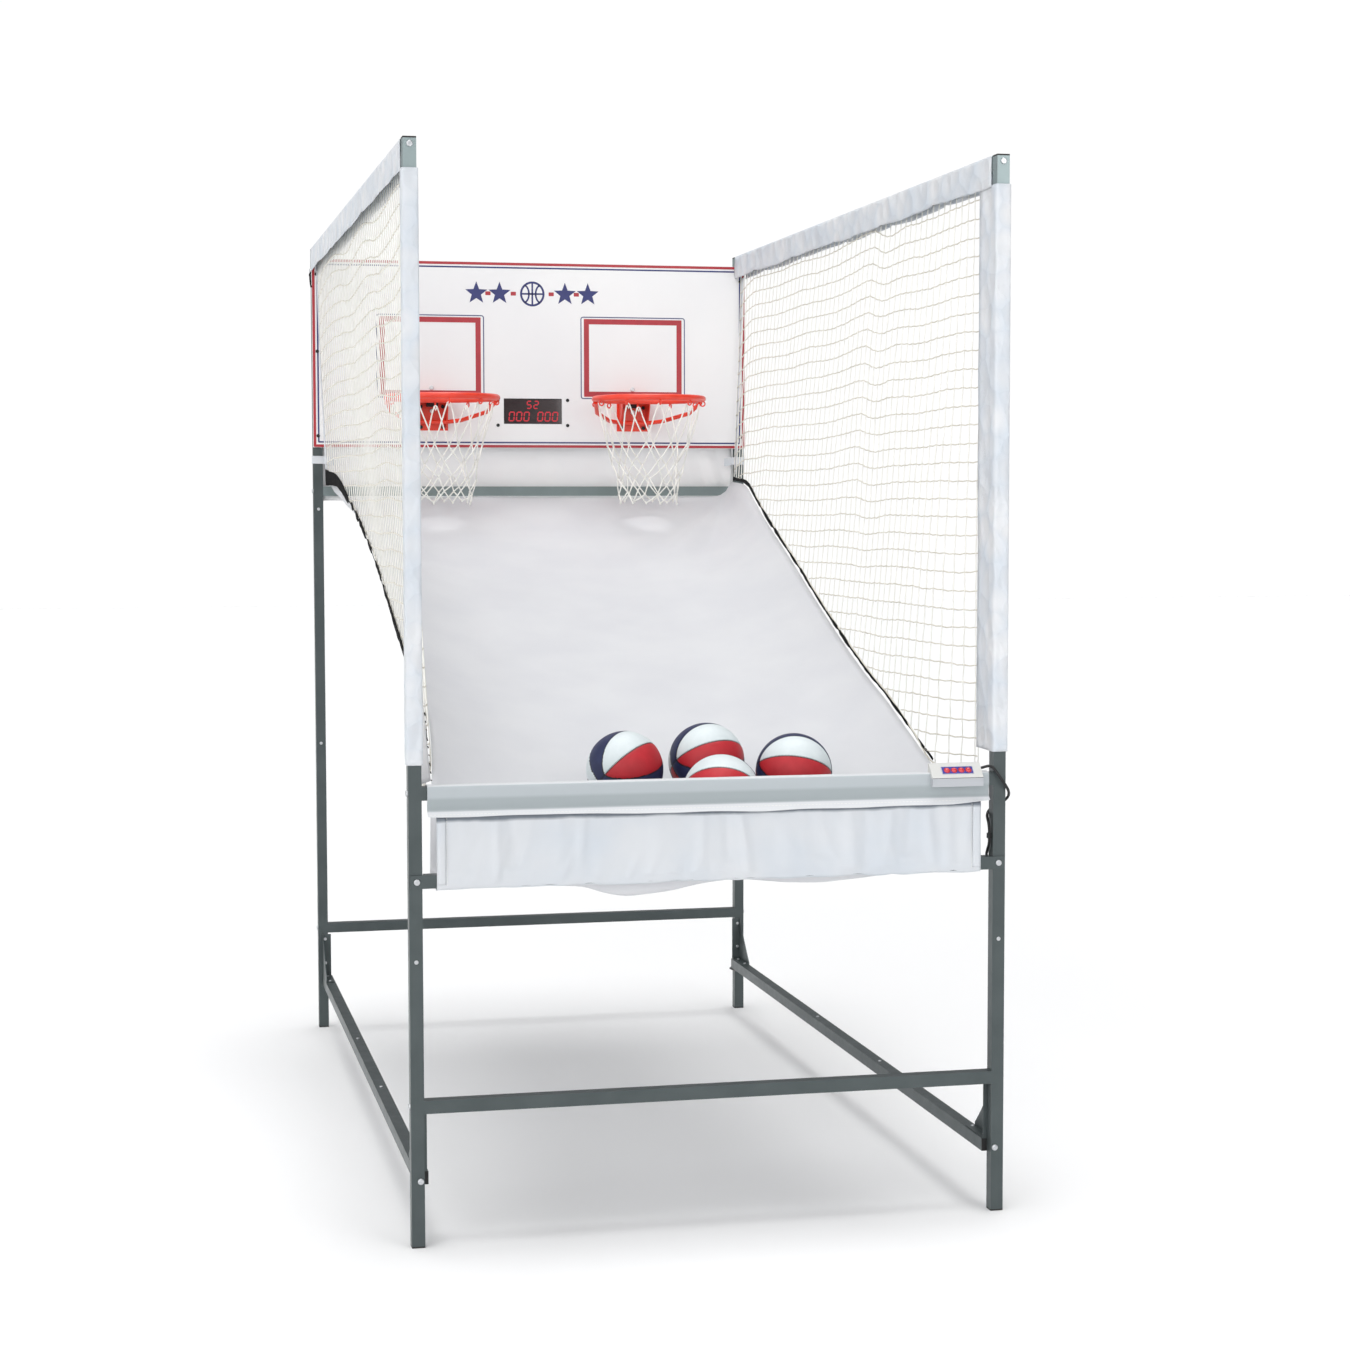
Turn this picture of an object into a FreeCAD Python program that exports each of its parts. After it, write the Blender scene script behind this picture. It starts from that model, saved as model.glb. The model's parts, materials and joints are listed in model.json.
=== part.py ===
import FreeCAD, Part
import math
import os

import Sketcher

# Two-hoop arcade basketball machine: a bolted frame of square steel tube, a sloping fabric
# ball ramp that ends in a trough, side nets in fabric sleeves, a printed backboard with two
# hoops and a score display, and a small control box on the trough bar.
# Millimetres. +X is the player's right, +Y points away from the player, +Z is up, and the
# origin is on the floor under the middle of the machine.

doc = FreeCAD.newDocument("HoopMachine")
dims = doc.addObject("Spreadsheet::Sheet", "dims")
Vec = FreeCAD.Vector

DIMENSIONS = (
    ("tube", 25, "outside of the square frame tube"),
    ("wall", 1.5, "wall of the tube and of the couplers"),
    ("front", -1052.5, "y of the front faces of the front posts"),
    ("depth", 2105, "front posts' front faces to rear posts' rear faces"),
    ("width", 1165, "outside to outside of the posts"),
    ("height", 2057, "floor to the top of the posts"),
    ("cap", 3, "thickness of the foot and top caps"),
    ("plug", 20, "how far a cap or an insert reaches into its tube"),
    ("play", 0.2, "gap between a tube and what slides into it"),
    ("lower_seam", 735, "joint between the bottom and middle post pieces"),
    ("upper_seam", 1353, "joint between the middle and top post pieces"),
    ("coupler", 160, "length of a post coupler"),
    ("long_coupler", 560, "length of a side rail coupler"),
    ("rail_seam", -55, "y of the joint in the side rails"),
    ("lower_bar", 266, "height of the lower crossbars"),
    ("panel_bar", 690, "height of the bar under the trough"),
    ("trough_bar", 854, "height of the bar on top of the trough"),
    ("ramp_rail", 1425, "height of the rail that carries the ramp's back edge"),
    ("board_rail", 2000, "height of the rail behind the board"),
    ("side_rail", 126.5, "height of the lower side rails"),
    ("side_rail_x", 560, "distance of the lower side rails from the middle"),
    ("top_rail", 2043.5, "height of the top side rails"),
    ("tab", 3, "thickness of the flattened tabs on the lower trough bar"),
    ("tab_reach", 41, "length of each flattened tab"),
    ("board_bottom", 1540, "bottom of the backboard"),
    ("board_height", 490, "height of the backboard"),
    ("board", 12, "thickness of the backboard"),
    ("window_wide", 156, "display window width"),
    ("window_high", 67, "display window height"),
    ("window_z", 1637.5, "height of the display window's middle"),
    ("housing_wide", 210, "width of the display housing"),
    ("housing_high", 110, "height of the display housing"),
    ("housing_deep", 43, "depth of the display housing behind the board"),
    ("shell", 2, "wall of the moulded plastic shells"),
    ("hoop_x", 271, "distance of each hoop from the middle"),
    ("hoop_z", 1663, "height of the hoop rings"),
    ("hoop_y", 803.5, "y of the middle of the hoop rings"),
    ("ring", 141, "radius of a hoop ring along its tube"),
    ("ring_tube", 8, "radius of the ring's tube"),
    ("rod", 5.5, "radius of the brace rod"),
    ("plate", 2.5, "thickness of the hoop bracket's plate"),
    ("bracket_wide", 86, "width of the hoop bracket"),
    ("bracket_low", 1585, "bottom of the hoop bracket"),
    ("bracket_high", 1686, "top of the hoop bracket"),
    ("cloth", 1.2, "thickness of the fabric"),
    ("slack", 0.3, "gap between fabric and what it wraps"),
    ("sleeve_low", 905, "bottom of the front post sleeves"),
    ("sleeve_high", 2000, "top of the front post sleeves"),
    ("sleeve_wall", 2.5, "bulk of the post sleeves on each side"),
    ("hem_reach", 98, "how far the front sleeve's hem reaches back"),
    ("top_sleeve_low", 1998, "bottom of the top sleeves' flaps"),
    ("cover_wide", 1096, "width of the trough bar's cover"),
    ("flap", 40, "height of the cover's flap"),
    ("panel_wide", 1062, "width of the trough's front panel"),
    ("panel_behind", 30, "how far the panel's hem comes up behind the lower bar"),
    ("strap_z", 1507, "height of the net straps on the rear posts"),
    ("strap", 21, "height of a net strap"),
    ("net_x", 570, "distance of the nets' top edges from the middle"),
    ("net", 2, "thickness of the side nets"),
    ("box_x", 479.5, "middle of the control box"),
    ("box_wide", 103, "width of the control box"),
    ("box_front", -18, "front of the control box, ahead of the posts"),
    ("box_deep", 30.5, "depth of the control box"),
    ("box_low", 843, "bottom of the control box"),
    ("box_lip", 860, "front edge of the control box's sloping face"),
    ("box_back", 886.6, "back edge of the control box's sloping face"),
    ("box_run", 25.5, "depth of the control box's sloping face"),
    ("button_x", 461, "first button from the middle of the machine"),
    ("button_pitch", 14.5, "spacing of the buttons"),
    ("button", 6.2, "radius of a button"),
    ("button_back", 18.7, "distance of the buttons up the sloping face"),
    ("cable", 2.75, "radius of the control cable"),
    ("ball", 76.2, "radius of a ball"),
    ("ball_wall", 3.2, "rubber and carcass of a ball"),
)
for row, (alias, number, meaning) in enumerate(DIMENSIONS, start=1):
    dims.set(f"A{row}", meaning)
    dims.set(f"B{row}", str(number))
    dims.setAlias(f"B{row}", alias)
doc.recompute()

BACK = "(dims.front + dims.depth - dims.tube)"      # front faces of the rear posts
POST_X = "(dims.width / 2 - dims.tube / 2)"
BORE = "(dims.tube - 2 * dims.wall)"
SIDES = (("left", -1), ("right", 1))
sub_parts = []


def size(alias):
    return float(dims.get(alias))


def sub_part(label, *pieces):
    """Give one sub-part its name; its separate solids go into one compound."""
    whole = pieces[0]
    if len(pieces) > 1:
        whole = doc.addObject("Part::Compound", label + "_group")
        whole.Links = list(pieces)
    whole.Label = label
    sub_parts.append(whole)
    return whole


def block(name, sizes, middle):
    """A box from three sizes and its middle, all written as expressions."""
    box = doc.addObject("Part::Box", name)
    for side, axis, length, centre in zip(("Length", "Width", "Height"), "xyz", sizes, middle):
        box.setExpression(side, length)
        box.setExpression("Placement.Base." + axis, f"({centre}) - ({length}) / 2")
    return box


def cut(name, base, *tools):
    """The base with every tool taken away."""
    for number, tool in enumerate(tools):
        result = doc.addObject("Part::Cut", f"{name}_{number}")
        result.Base = base
        result.Tool = tool
        base = result
    return base


def fuse(name, *pieces):
    joined = doc.addObject("Part::MultiFuse", name)
    joined.Shapes = list(pieces)
    return joined


def tube(name, along, length, middle, outside="dims.tube"):
    """A square tube of one wall thickness, open at both ends."""
    outer = [outside] * 3
    inner = [f"({outside} - 2 * dims.wall)"] * 3
    outer["xyz".index(along)] = length
    inner["xyz".index(along)] = f"({length} + 2)"
    return cut(name, block(name + "_outer", outer, middle), block(name + "_bore", inner, middle))


def feature(name, shape):
    made = doc.addObject("Part::Feature", name)
    made.Shape = shape
    return made


# ---------------------------------------------------------------- bolts and screws

# sort of fastener: head radius, head height, shank radius
SORTS = {
    "frame_bolts": (6.0, 3.5, 3.0),
    "joint_screws": (4.0, 2.0, 2.0),
    "board_bolts": (4.5, 2.5, 2.25),
    "hoop_bolts": (5.0, 3.0, 2.5),
}
LONG_SHANK, SHORT_SHANK, BOARD_SHANK, HOOP_SHANK = 40.0, 4.0, 14.0, 17.0
HOLE_PLAY = 0.25
OUT_X, OUT_Y, OUT_Z = Vec(1, 0, 0), Vec(0, 1, 0), Vec(0, 0, 1)
RING_BOLT_Z = 1697.0        # bright bolt above each bracket
BRACKET_BOLT_Z = 1636.0     # bright bolt in the middle of each bracket
GUSSET_SHEET = 2.0
GUSSET_REACH, GUSSET_RISE, GUSSET_FLANGE = 106.0, 111.0, 22.0


def frame_bolt_places():
    front = size("front")
    back = front + size("depth")
    mid = size("tube") / 2
    edge = size("width") / 2
    for sign in (-1, 1):
        for y, height in ((front + mid, "lower_bar"), (front + mid, "trough_bar"),
                          (back - mid, "lower_bar"), (back - mid, "ramp_rail"),
                          (back - mid, "board_rail")):
            yield Vec(sign * edge, y, size(height)), OUT_X * sign, LONG_SHANK
        for x, height in ((edge - mid, "top_rail"), (size("side_rail_x") + 5, "side_rail")):
            yield Vec(sign * x, front, size(height)), OUT_Y * -1, LONG_SHANK
            yield Vec(sign * x, back, size(height)), OUT_Y, LONG_SHANK
        tab = Vec(sign * (edge - mid - 2), front - size("tab"), size("panel_bar"))
        yield tab, OUT_Y * -1, size("tab") + size("tube")
        board = back - size("tube") - size("board")
        yield Vec(sign * size("hoop_x"), board, RING_BOLT_Z), OUT_Y * -1, BOARD_SHANK
        bracket = Vec(sign * size("hoop_x"), board - size("plate"), BRACKET_BOLT_Z)
        yield bracket, OUT_Y * -1, HOOP_SHANK


def joint_screw_places():
    front = size("front")
    back = front + size("depth")
    for sign in (-1, 1):
        x = sign * (size("width") / 2 - size("tube") / 2)
        rear_face = back - size("tube")
        for seam in ("lower_seam", "upper_seam"):
            yield Vec(x, rear_face, size(seam) + 25), OUT_Y * -1, SHORT_SHANK
        yield Vec(x, front, 540), OUT_Y * -1, SHORT_SHANK
        for reach in (-255, 255):
            top = size("side_rail") + size("tube") / 2
            spot = Vec(sign * size("side_rail_x"), size("rail_seam") + reach, top)
            yield spot, OUT_Z, SHORT_SHANK
        for face, way in ((front + size("tube"), 1), (rear_face, -1)):
            for height in (173, 237):
                spot = Vec(sign * 565, face + way * GUSSET_SHEET, height)
                yield spot, OUT_Y * way, SHORT_SHANK
            for reach in (25, 95):
                top = size("side_rail") + size("tube") / 2 + GUSSET_SHEET
                yield Vec(sign * 562, face + way * reach, top), OUT_Z, SHORT_SHANK


def board_bolt_places():
    face = size("front") + size("depth") - size("tube") - size("board")
    for sign in (-1, 1):
        for height in (1570, 1790, 1990):
            yield Vec(sign * 570, face, height), OUT_Y * -1, BOARD_SHANK
        for height in (1600, 1667):
            yield Vec(sign * 94, face, height), OUT_Y * -1, BOARD_SHANK


def hoop_bolt_places():
    face = size("front") + size("depth") - size("tube") - size("board") - size("plate")
    for sign in (-1, 1):
        for across, height in ((-29, 1594), (29, 1594), (-29, 1648), (29, 1648)):
            yield Vec(sign * size("hoop_x") + across, face, height), OUT_Y * -1, HOOP_SHANK


def fastener(sort, seat, outward, shank):
    """A pan head with a cross recess, and its plain shank."""
    head_radius, head, shank_radius = SORTS[sort]
    body = Part.makeCylinder(head_radius, head)
    rim = [edge for edge in body.Edges if edge.BoundBox.ZMin > head - 0.01]
    body = body.makeFillet(head * 0.55, rim[:1])
    slot = Part.makeBox(head_radius, head_radius / 5, head / 2)
    slot.translate(Vec(-head_radius / 2, -head_radius / 10, head / 2))
    across = slot.copy()
    across.rotate(Vec(), OUT_Z, 90)
    body = body.cut(slot.fuse(across))
    body = body.fuse(Part.makeCylinder(shank_radius, shank, Vec(0, 0, -shank)))
    body.Placement = FreeCAD.Placement(seat, FreeCAD.Rotation(OUT_Z, outward))
    return body


def clearance(sort, seat, outward, shank):
    """The hole that a fastener's shank passes through."""
    radius = SORTS[sort][2] + HOLE_PLAY
    return Part.makeCylinder(radius, shank + 1, seat + outward * 0.5, outward * -1)


PLACES = {
    "frame_bolts": frame_bolt_places,
    "joint_screws": joint_screw_places,
    "board_bolts": board_bolt_places,
    "hoop_bolts": hoop_bolt_places,
}


def make_fasteners():
    """Every group of bolts, and the clearance holes of each group."""
    holes = {}
    for sort, places in PLACES.items():
        spots = list(places())
        group = Part.makeCompound([fastener(sort, *spot) for spot in spots])
        sub_part(sort, feature(sort + "_solids", group))
        drills = Part.makeCompound([clearance(sort, *spot) for spot in spots])
        holes[sort] = feature(sort + "_clearance", drills)
    return holes


# ---------------------------------------------------------------- steel frame

def make_posts(holes):
    """Four posts, each of three tubes stacked end to end."""
    spans = (("dims.cap", "dims.lower_seam"), ("dims.lower_seam", "dims.upper_seam"),
             ("dims.upper_seam", "dims.height - dims.cap"))
    rows = (("front", "dims.front + dims.tube / 2"), ("rear", f"{BACK} + dims.tube / 2"))
    for row, y in rows:
        for side, sign in SIDES:
            name = f"{row}_{side}_post"
            pieces = [tube(f"{name}_{number}", "z", f"(({high}) - ({low}))",
                           (f"{sign} * {POST_X}", y, f"(({high}) + ({low})) / 2"))
                      for number, (low, high) in enumerate(spans)]
            stack = doc.addObject("Part::Compound", name + "_stack")
            stack.Links = pieces
            sub_part(name, cut(name, stack, holes["frame_bolts"], holes["joint_screws"],
                               holes["board_bolts"]))


def make_post_caps():
    """A foot under each post, and a shallower plug in its top that clears the rail bolts."""
    pieces = []
    fit = f"({BORE} - dims.play)"
    for number, y in enumerate(("dims.front + dims.tube / 2", f"{BACK} + dims.tube / 2")):
        for side, sign in SIDES:
            x = f"{sign} * {POST_X}"
            for end, flange_z, plug_z, deep in (
                    ("foot", "dims.cap / 2", "dims.cap + dims.plug / 2 - 0.5", "dims.plug + 1"),
                    ("top", "dims.height - dims.cap / 2", "dims.height - dims.cap - 2.5", "6")):
                name = f"cap_{end}_{side}_{number}"
                flange = block(name + "_flange", ("dims.tube", "dims.tube", "dims.cap"),
                               (x, y, flange_z))
                plug = block(name + "_plug", (fit, fit, deep), (x, y, plug_z))
                pieces.append(fuse(name, flange, plug))
    sub_part("post_caps", *pieces)


def make_crossbars():
    """The five bars across the machine, all bolted through the posts."""
    front_y = "dims.front + dims.tube / 2"
    back_y = f"{BACK} + dims.tube / 2"
    length = "(dims.width - 2 * dims.tube)"
    for name, y, height in (("lower_front_crossbar", front_y, "dims.lower_bar"),
                            ("lower_rear_crossbar", back_y, "dims.lower_bar"),
                            ("trough_top_bar", front_y, "dims.trough_bar"),
                            ("rear_ramp_rail", back_y, "dims.ramp_rail"),
                            ("rear_top_rail", back_y, "dims.board_rail")):
        sub_part(name, tube(name, "x", length, ("0", y, height)))


def make_trough_lower_bar(holes):
    """A bar between flattened tabs that lie on the front faces of the posts."""
    length = "(dims.width - 2 * dims.tube - 2 * dims.tab)"
    bar = tube("lower_bar_tube", "x", length,
               ("0", "dims.front - dims.tab + dims.tube / 2", "dims.panel_bar"))
    tabs = [block(f"lower_bar_tab_{side}", ("dims.tab_reach", "dims.tab", "dims.tube"),
                  (f"{sign} * (dims.width / 2 - dims.tab_reach / 2 - 2)",
                   "dims.front - dims.tab / 2", "dims.panel_bar"))
            for side, sign in SIDES]
    whole = fuse("lower_bar_welded", bar, *tabs)
    sub_part("trough_lower_bar", cut("trough_lower_bar", whole, holes["frame_bolts"]))


def rail_pieces(name, x, height, low, high, holes):
    """One long rail in two tubes that meet at the rail seam."""
    pieces = [tube(f"{name}_{number}", "y", f"(({end}) - ({start}))",
                   (x, f"(({end}) + ({start})) / 2", height))
              for number, (start, end) in enumerate(((low, "dims.rail_seam"),
                                                     ("dims.rail_seam", high)))]
    pair = doc.addObject("Part::Compound", name + "_pair")
    pair.Links = pieces
    sub_part(name, cut(name, pair, holes["joint_screws"]))


def make_side_rails(holes):
    for side, sign in SIDES:
        rail_pieces(f"{side}_top_rail", f"{sign} * {POST_X}", "dims.top_rail",
                    "(dims.front + dims.tube)", BACK, holes)
        rail_pieces(f"{side}_lower_rail", f"{sign} * dims.side_rail_x", "dims.side_rail",
                    "(dims.front + dims.tube + dims.shell)", f"({BACK} - dims.shell)", holes)


def make_couplers(holes):
    """Inner tubes that join the post pieces and the rail pieces."""
    outside = f"({BORE} - dims.play)"
    pieces = []
    for row, y in (("front", "dims.front + dims.tube / 2"), ("rear", f"{BACK} + dims.tube / 2")):
        for side, sign in SIDES:
            for seam in ("lower_seam", "upper_seam"):
                pieces.append(tube(f"coupler_{row}_{side}_{seam}", "z", "dims.coupler",
                                   (f"{sign} * {POST_X}", y, f"dims.{seam}"), outside))
    for side, sign in SIDES:
        for rail, x in (("top_rail", POST_X), ("side_rail", "dims.side_rail_x")):
            pieces.append(tube(f"coupler_{side}_{rail}", "y", "dims.long_coupler",
                               (f"{sign} * {x}", "dims.rail_seam", f"dims.{rail}"), outside))
    group = doc.addObject("Part::Compound", "coupler_stack")
    group.Links = pieces
    sub_part("tube_couplers", cut("couplers", group, holes["frame_bolts"], holes["joint_screws"]))


def make_bar_plugs(holes):
    """Threaded inserts in the bar ends, and flanged plastic plugs in the lower rails."""
    fit = f"({BORE} - dims.play)"
    pieces = []
    bars = (("lower_front", "dims.front + dims.tube / 2", "dims.lower_bar"),
            ("lower_rear", f"{BACK} + dims.tube / 2", "dims.lower_bar"),
            ("trough", "dims.front + dims.tube / 2", "dims.trough_bar"),
            ("ramp", f"{BACK} + dims.tube / 2", "dims.ramp_rail"),
            ("board", f"{BACK} + dims.tube / 2", "dims.board_rail"))
    for name, y, height in bars:
        for side, sign in SIDES:
            x = f"{sign} * (dims.width / 2 - dims.tube - dims.plug / 2)"
            pieces.append(block(f"insert_{name}_{side}", ("dims.plug", fit, fit), (x, y, height)))
    ends = (("front", "dims.front + dims.tube", 1), ("rear", BACK, -1))
    for side, sign in SIDES:
        for end, face, way in ends:
            pieces.append(block(f"insert_top_{side}_{end}", (fit, "dims.plug", fit),
                                (f"{sign} * {POST_X}", f"{face} + {way} * dims.plug / 2",
                                 "dims.top_rail")))
            x = f"{sign} * dims.side_rail_x"
            flange = block(f"plug_flange_{side}_{end}", ("dims.tube", "dims.shell", "dims.tube"),
                           (x, f"{face} + {way} * dims.shell / 2", "dims.side_rail"))
            core = block(f"plug_core_{side}_{end}", (fit, "dims.plug", fit),
                         (x, f"{face} + {way} * (dims.plug / 2 + 1)", "dims.side_rail"))
            pieces.append(fuse(f"plug_{side}_{end}", flange, core))
    group = doc.addObject("Part::Compound", "bar_plug_stack")
    group.Links = pieces
    sub_part("bar_end_plugs", cut("bar_plugs", group, holes["frame_bolts"]))


def make_gussets(holes):
    """Folded corner braces between each post and the lower side rail."""
    base = size("side_rail") + size("tube") / 2
    reach, rise, flange = GUSSET_REACH, GUSSET_RISE, GUSSET_FLANGE
    pieces = []
    for sign in (-1, 1):
        for face, way in ((size("front") + size("tube"), 1),
                          (size("front") + size("depth") - size("tube"), -1)):
            outer = flange - GUSSET_SHEET
            low = Vec(outer, 0, 0)
            along = Vec(outer, reach, 0)
            toe = Vec(outer, reach, 7)
            middle = Vec(outer, reach * 0.52, rise * 0.49)
            tip = Vec(outer, 7, rise)
            heel = Vec(outer, 0, rise)
            edges = [Part.LineSegment(low, along).toShape(), Part.LineSegment(along, toe).toShape(),
                     Part.Arc(toe, middle, tip).toShape(), Part.LineSegment(tip, heel).toShape(),
                     Part.LineSegment(heel, low).toShape()]
            web = Part.Face(Part.Wire(edges)).extrude(Vec(GUSSET_SHEET, 0, 0))
            floor_flange = Part.makeBox(flange, reach, GUSSET_SHEET)
            post_flange = Part.makeBox(flange, GUSSET_SHEET, rise)
            brace = web.fuse([floor_flange, post_flange]).removeSplitter()
            if way < 0:
                brace = brace.mirror(Vec(), OUT_Y)
            if sign < 0:
                brace = brace.mirror(Vec(), OUT_X)
            brace.translate(Vec(sign * 550, face, base))
            pieces.append(brace)
    group = feature("gusset_solids", Part.makeCompound(pieces))
    sub_part("corner_gussets", cut("gussets", group, holes["joint_screws"]))


# ---------------------------------------------------------------- backboard and display

def sketch_on(body, name, role, offset=None):
    """A sketch on one of the body's own origin planes, moved by bound offsets."""
    drawing = body.newObject("Sketcher::SketchObject", name)
    plane = next(item for item in body.Origin.OriginFeatures if item.Role == role)
    drawing.AttachmentSupport = [(plane, "")]
    drawing.MapMode = "FlatFace"
    for axis, expression in (offset or {}).items():
        drawing.setExpression("AttachmentOffset.Base." + axis, expression)
    return drawing


def centred_rectangle(drawing, wide, high):
    """A rectangle about the sketch's origin, its two sizes bound to the sheet."""
    corners = [Vec(-10, -10, 0), Vec(10, -10, 0), Vec(10, 10, 0), Vec(-10, 10, 0)]
    for number in range(4):
        drawing.addGeometry(Part.LineSegment(corners[number], corners[(number + 1) % 4]), False)
    for number in range(4):
        drawing.addConstraint(Sketcher.Constraint("Coincident", number, 2, (number + 1) % 4, 1))
    for kind, line in (("Horizontal", 0), ("Vertical", 1), ("Horizontal", 2), ("Vertical", 3)):
        drawing.addConstraint(Sketcher.Constraint(kind, line))
    drawing.addConstraint(Sketcher.Constraint("Symmetric", 0, 1, 1, 2, -1, 1))
    wide_at = drawing.addConstraint(Sketcher.Constraint("DistanceX", 0, 1, 0, 2, 20))
    high_at = drawing.addConstraint(Sketcher.Constraint("DistanceY", 1, 1, 1, 2, 20))
    drawing.setExpression(f"Constraints[{wide_at}]", wide)
    drawing.setExpression(f"Constraints[{high_at}]", high)


def polygon(drawing, points):
    """A closed outline through points in the sketch's own two coordinates."""
    count = len(points)
    for number in range(count):
        start, end = points[number], points[(number + 1) % count]
        drawing.addGeometry(Part.LineSegment(Vec(*start, 0), Vec(*end, 0)), False)
    for number in range(count):
        drawing.addConstraint(
            Sketcher.Constraint("Coincident", number, 2, (number + 1) % count, 1))


def extrude(body, kind, name, drawing, length):
    """A pad or a pocket, the same length to both sides of its sketch."""
    made = body.newObject("PartDesign::" + kind, name)
    made.Profile = drawing
    made.setExpression("Length", length)
    made.SideType = "Symmetric"


def make_backboard(holes):
    """The printed board, with the display window cut through it."""
    body = doc.addObject("PartDesign::Body", "board_body")
    board_z = "dims.board_bottom + dims.board_height / 2"
    middle_y = f"-({BACK} - dims.board / 2)"
    outline = sketch_on(body, "board_outline", "XZ_Plane", {"y": board_z, "z": middle_y})
    centred_rectangle(outline, "dims.width", "dims.board_height")
    extrude(body, "Pad", "board_pad", outline, "dims.board")
    window = sketch_on(body, "board_window", "XZ_Plane", {"y": "dims.window_z", "z": middle_y})
    centred_rectangle(window, "dims.window_wide + 0.6", "dims.window_high + 0.6")
    extrude(body, "Pocket", "board_window_cut", window, "dims.board * 2")
    sub_part("backboard", cut("backboard", body, holes["board_bolts"], holes["hoop_bolts"],
                              holes["frame_bolts"]))


JACK_X = 70.0
JACK_RADIUS = 5.5
JACK_BORE = 2.9
JACK_LENGTH = 14.0
JACK_DROP = 25.0       # below the middle of the display


def make_display(holes):
    """The window lens, the housing behind the board, and the circuit board with its inlet."""
    window = block("display_lens", ("dims.window_wide", "dims.board - 1", "dims.window_high"),
                   ("0", f"{BACK} - dims.board / 2", "dims.window_z"))
    sub_part("display_window", window)

    body = doc.addObject("PartDesign::Body", "housing_body")
    middle = {"y": "dims.window_z", "z": f"-({BACK} + dims.housing_deep / 2)"}
    outline = sketch_on(body, "housing_outline", "XZ_Plane", middle)
    centred_rectangle(outline, "dims.housing_wide", "dims.housing_high")
    extrude(body, "Pad", "housing_pad", outline, "dims.housing_deep")
    inside = {"y": "dims.window_z", "z": f"-({BACK} + dims.housing_deep / 2 - dims.shell)"}
    hollow = sketch_on(body, "housing_hollow", "XZ_Plane", inside)
    centred_rectangle(hollow, "dims.housing_wide - 2 * dims.shell",
                      "dims.housing_high - 2 * dims.shell")
    extrude(body, "Pocket", "housing_cut", hollow, "dims.housing_deep")
    back = size("front") + size("depth") - size("tube")
    rear = back + size("housing_deep")
    jack_at = Vec(JACK_X, rear - JACK_LENGTH, size("window_z") - JACK_DROP)
    jack_hole = feature("jack_hole", Part.makeCylinder(JACK_RADIUS + 0.3, JACK_LENGTH, jack_at, OUT_Y))
    cable_at = Vec(size("housing_wide") / 2 - 6, back + 6, size("window_z"))
    cable_hole = feature("cable_hole", Part.makeCylinder(size("cable") + 0.6, 12, cable_at, OUT_X))
    sub_part("display_housing", cut("display_housing", body, jack_hole, cable_hole))

    card = block("display_card", ("dims.housing_wide - 20", "1.6", "dims.housing_high - 26"),
                 ("0", f"{BACK} + 12", "dims.window_z"))
    jack = Part.makeCylinder(JACK_RADIUS, JACK_LENGTH, jack_at, OUT_Y)
    jack = jack.cut(Part.makeCylinder(JACK_BORE, JACK_LENGTH, jack_at + OUT_Y * 2, OUT_Y))
    sub_part("display_circuit_board", card, feature("power_jack", jack))


# ---------------------------------------------------------------- hoops

SENSOR = ("30", "12", "14")
HOOK_COUNT = 10
HOOK_RADIUS = 6.0
HOOK_WIRE = 1.75


def rod_through(points, radius):
    """A bent rod: straight lengths with a ball at each bend."""
    solids = []
    for start, end in zip(points, points[1:]):
        way = end - start
        solids.append(Part.makeCylinder(radius, way.Length, start, way))
    solids += [Part.makeSphere(radius, point) for point in points[1:-1]]
    whole = solids[0]
    return whole.fuse(solids[1:])


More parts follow.
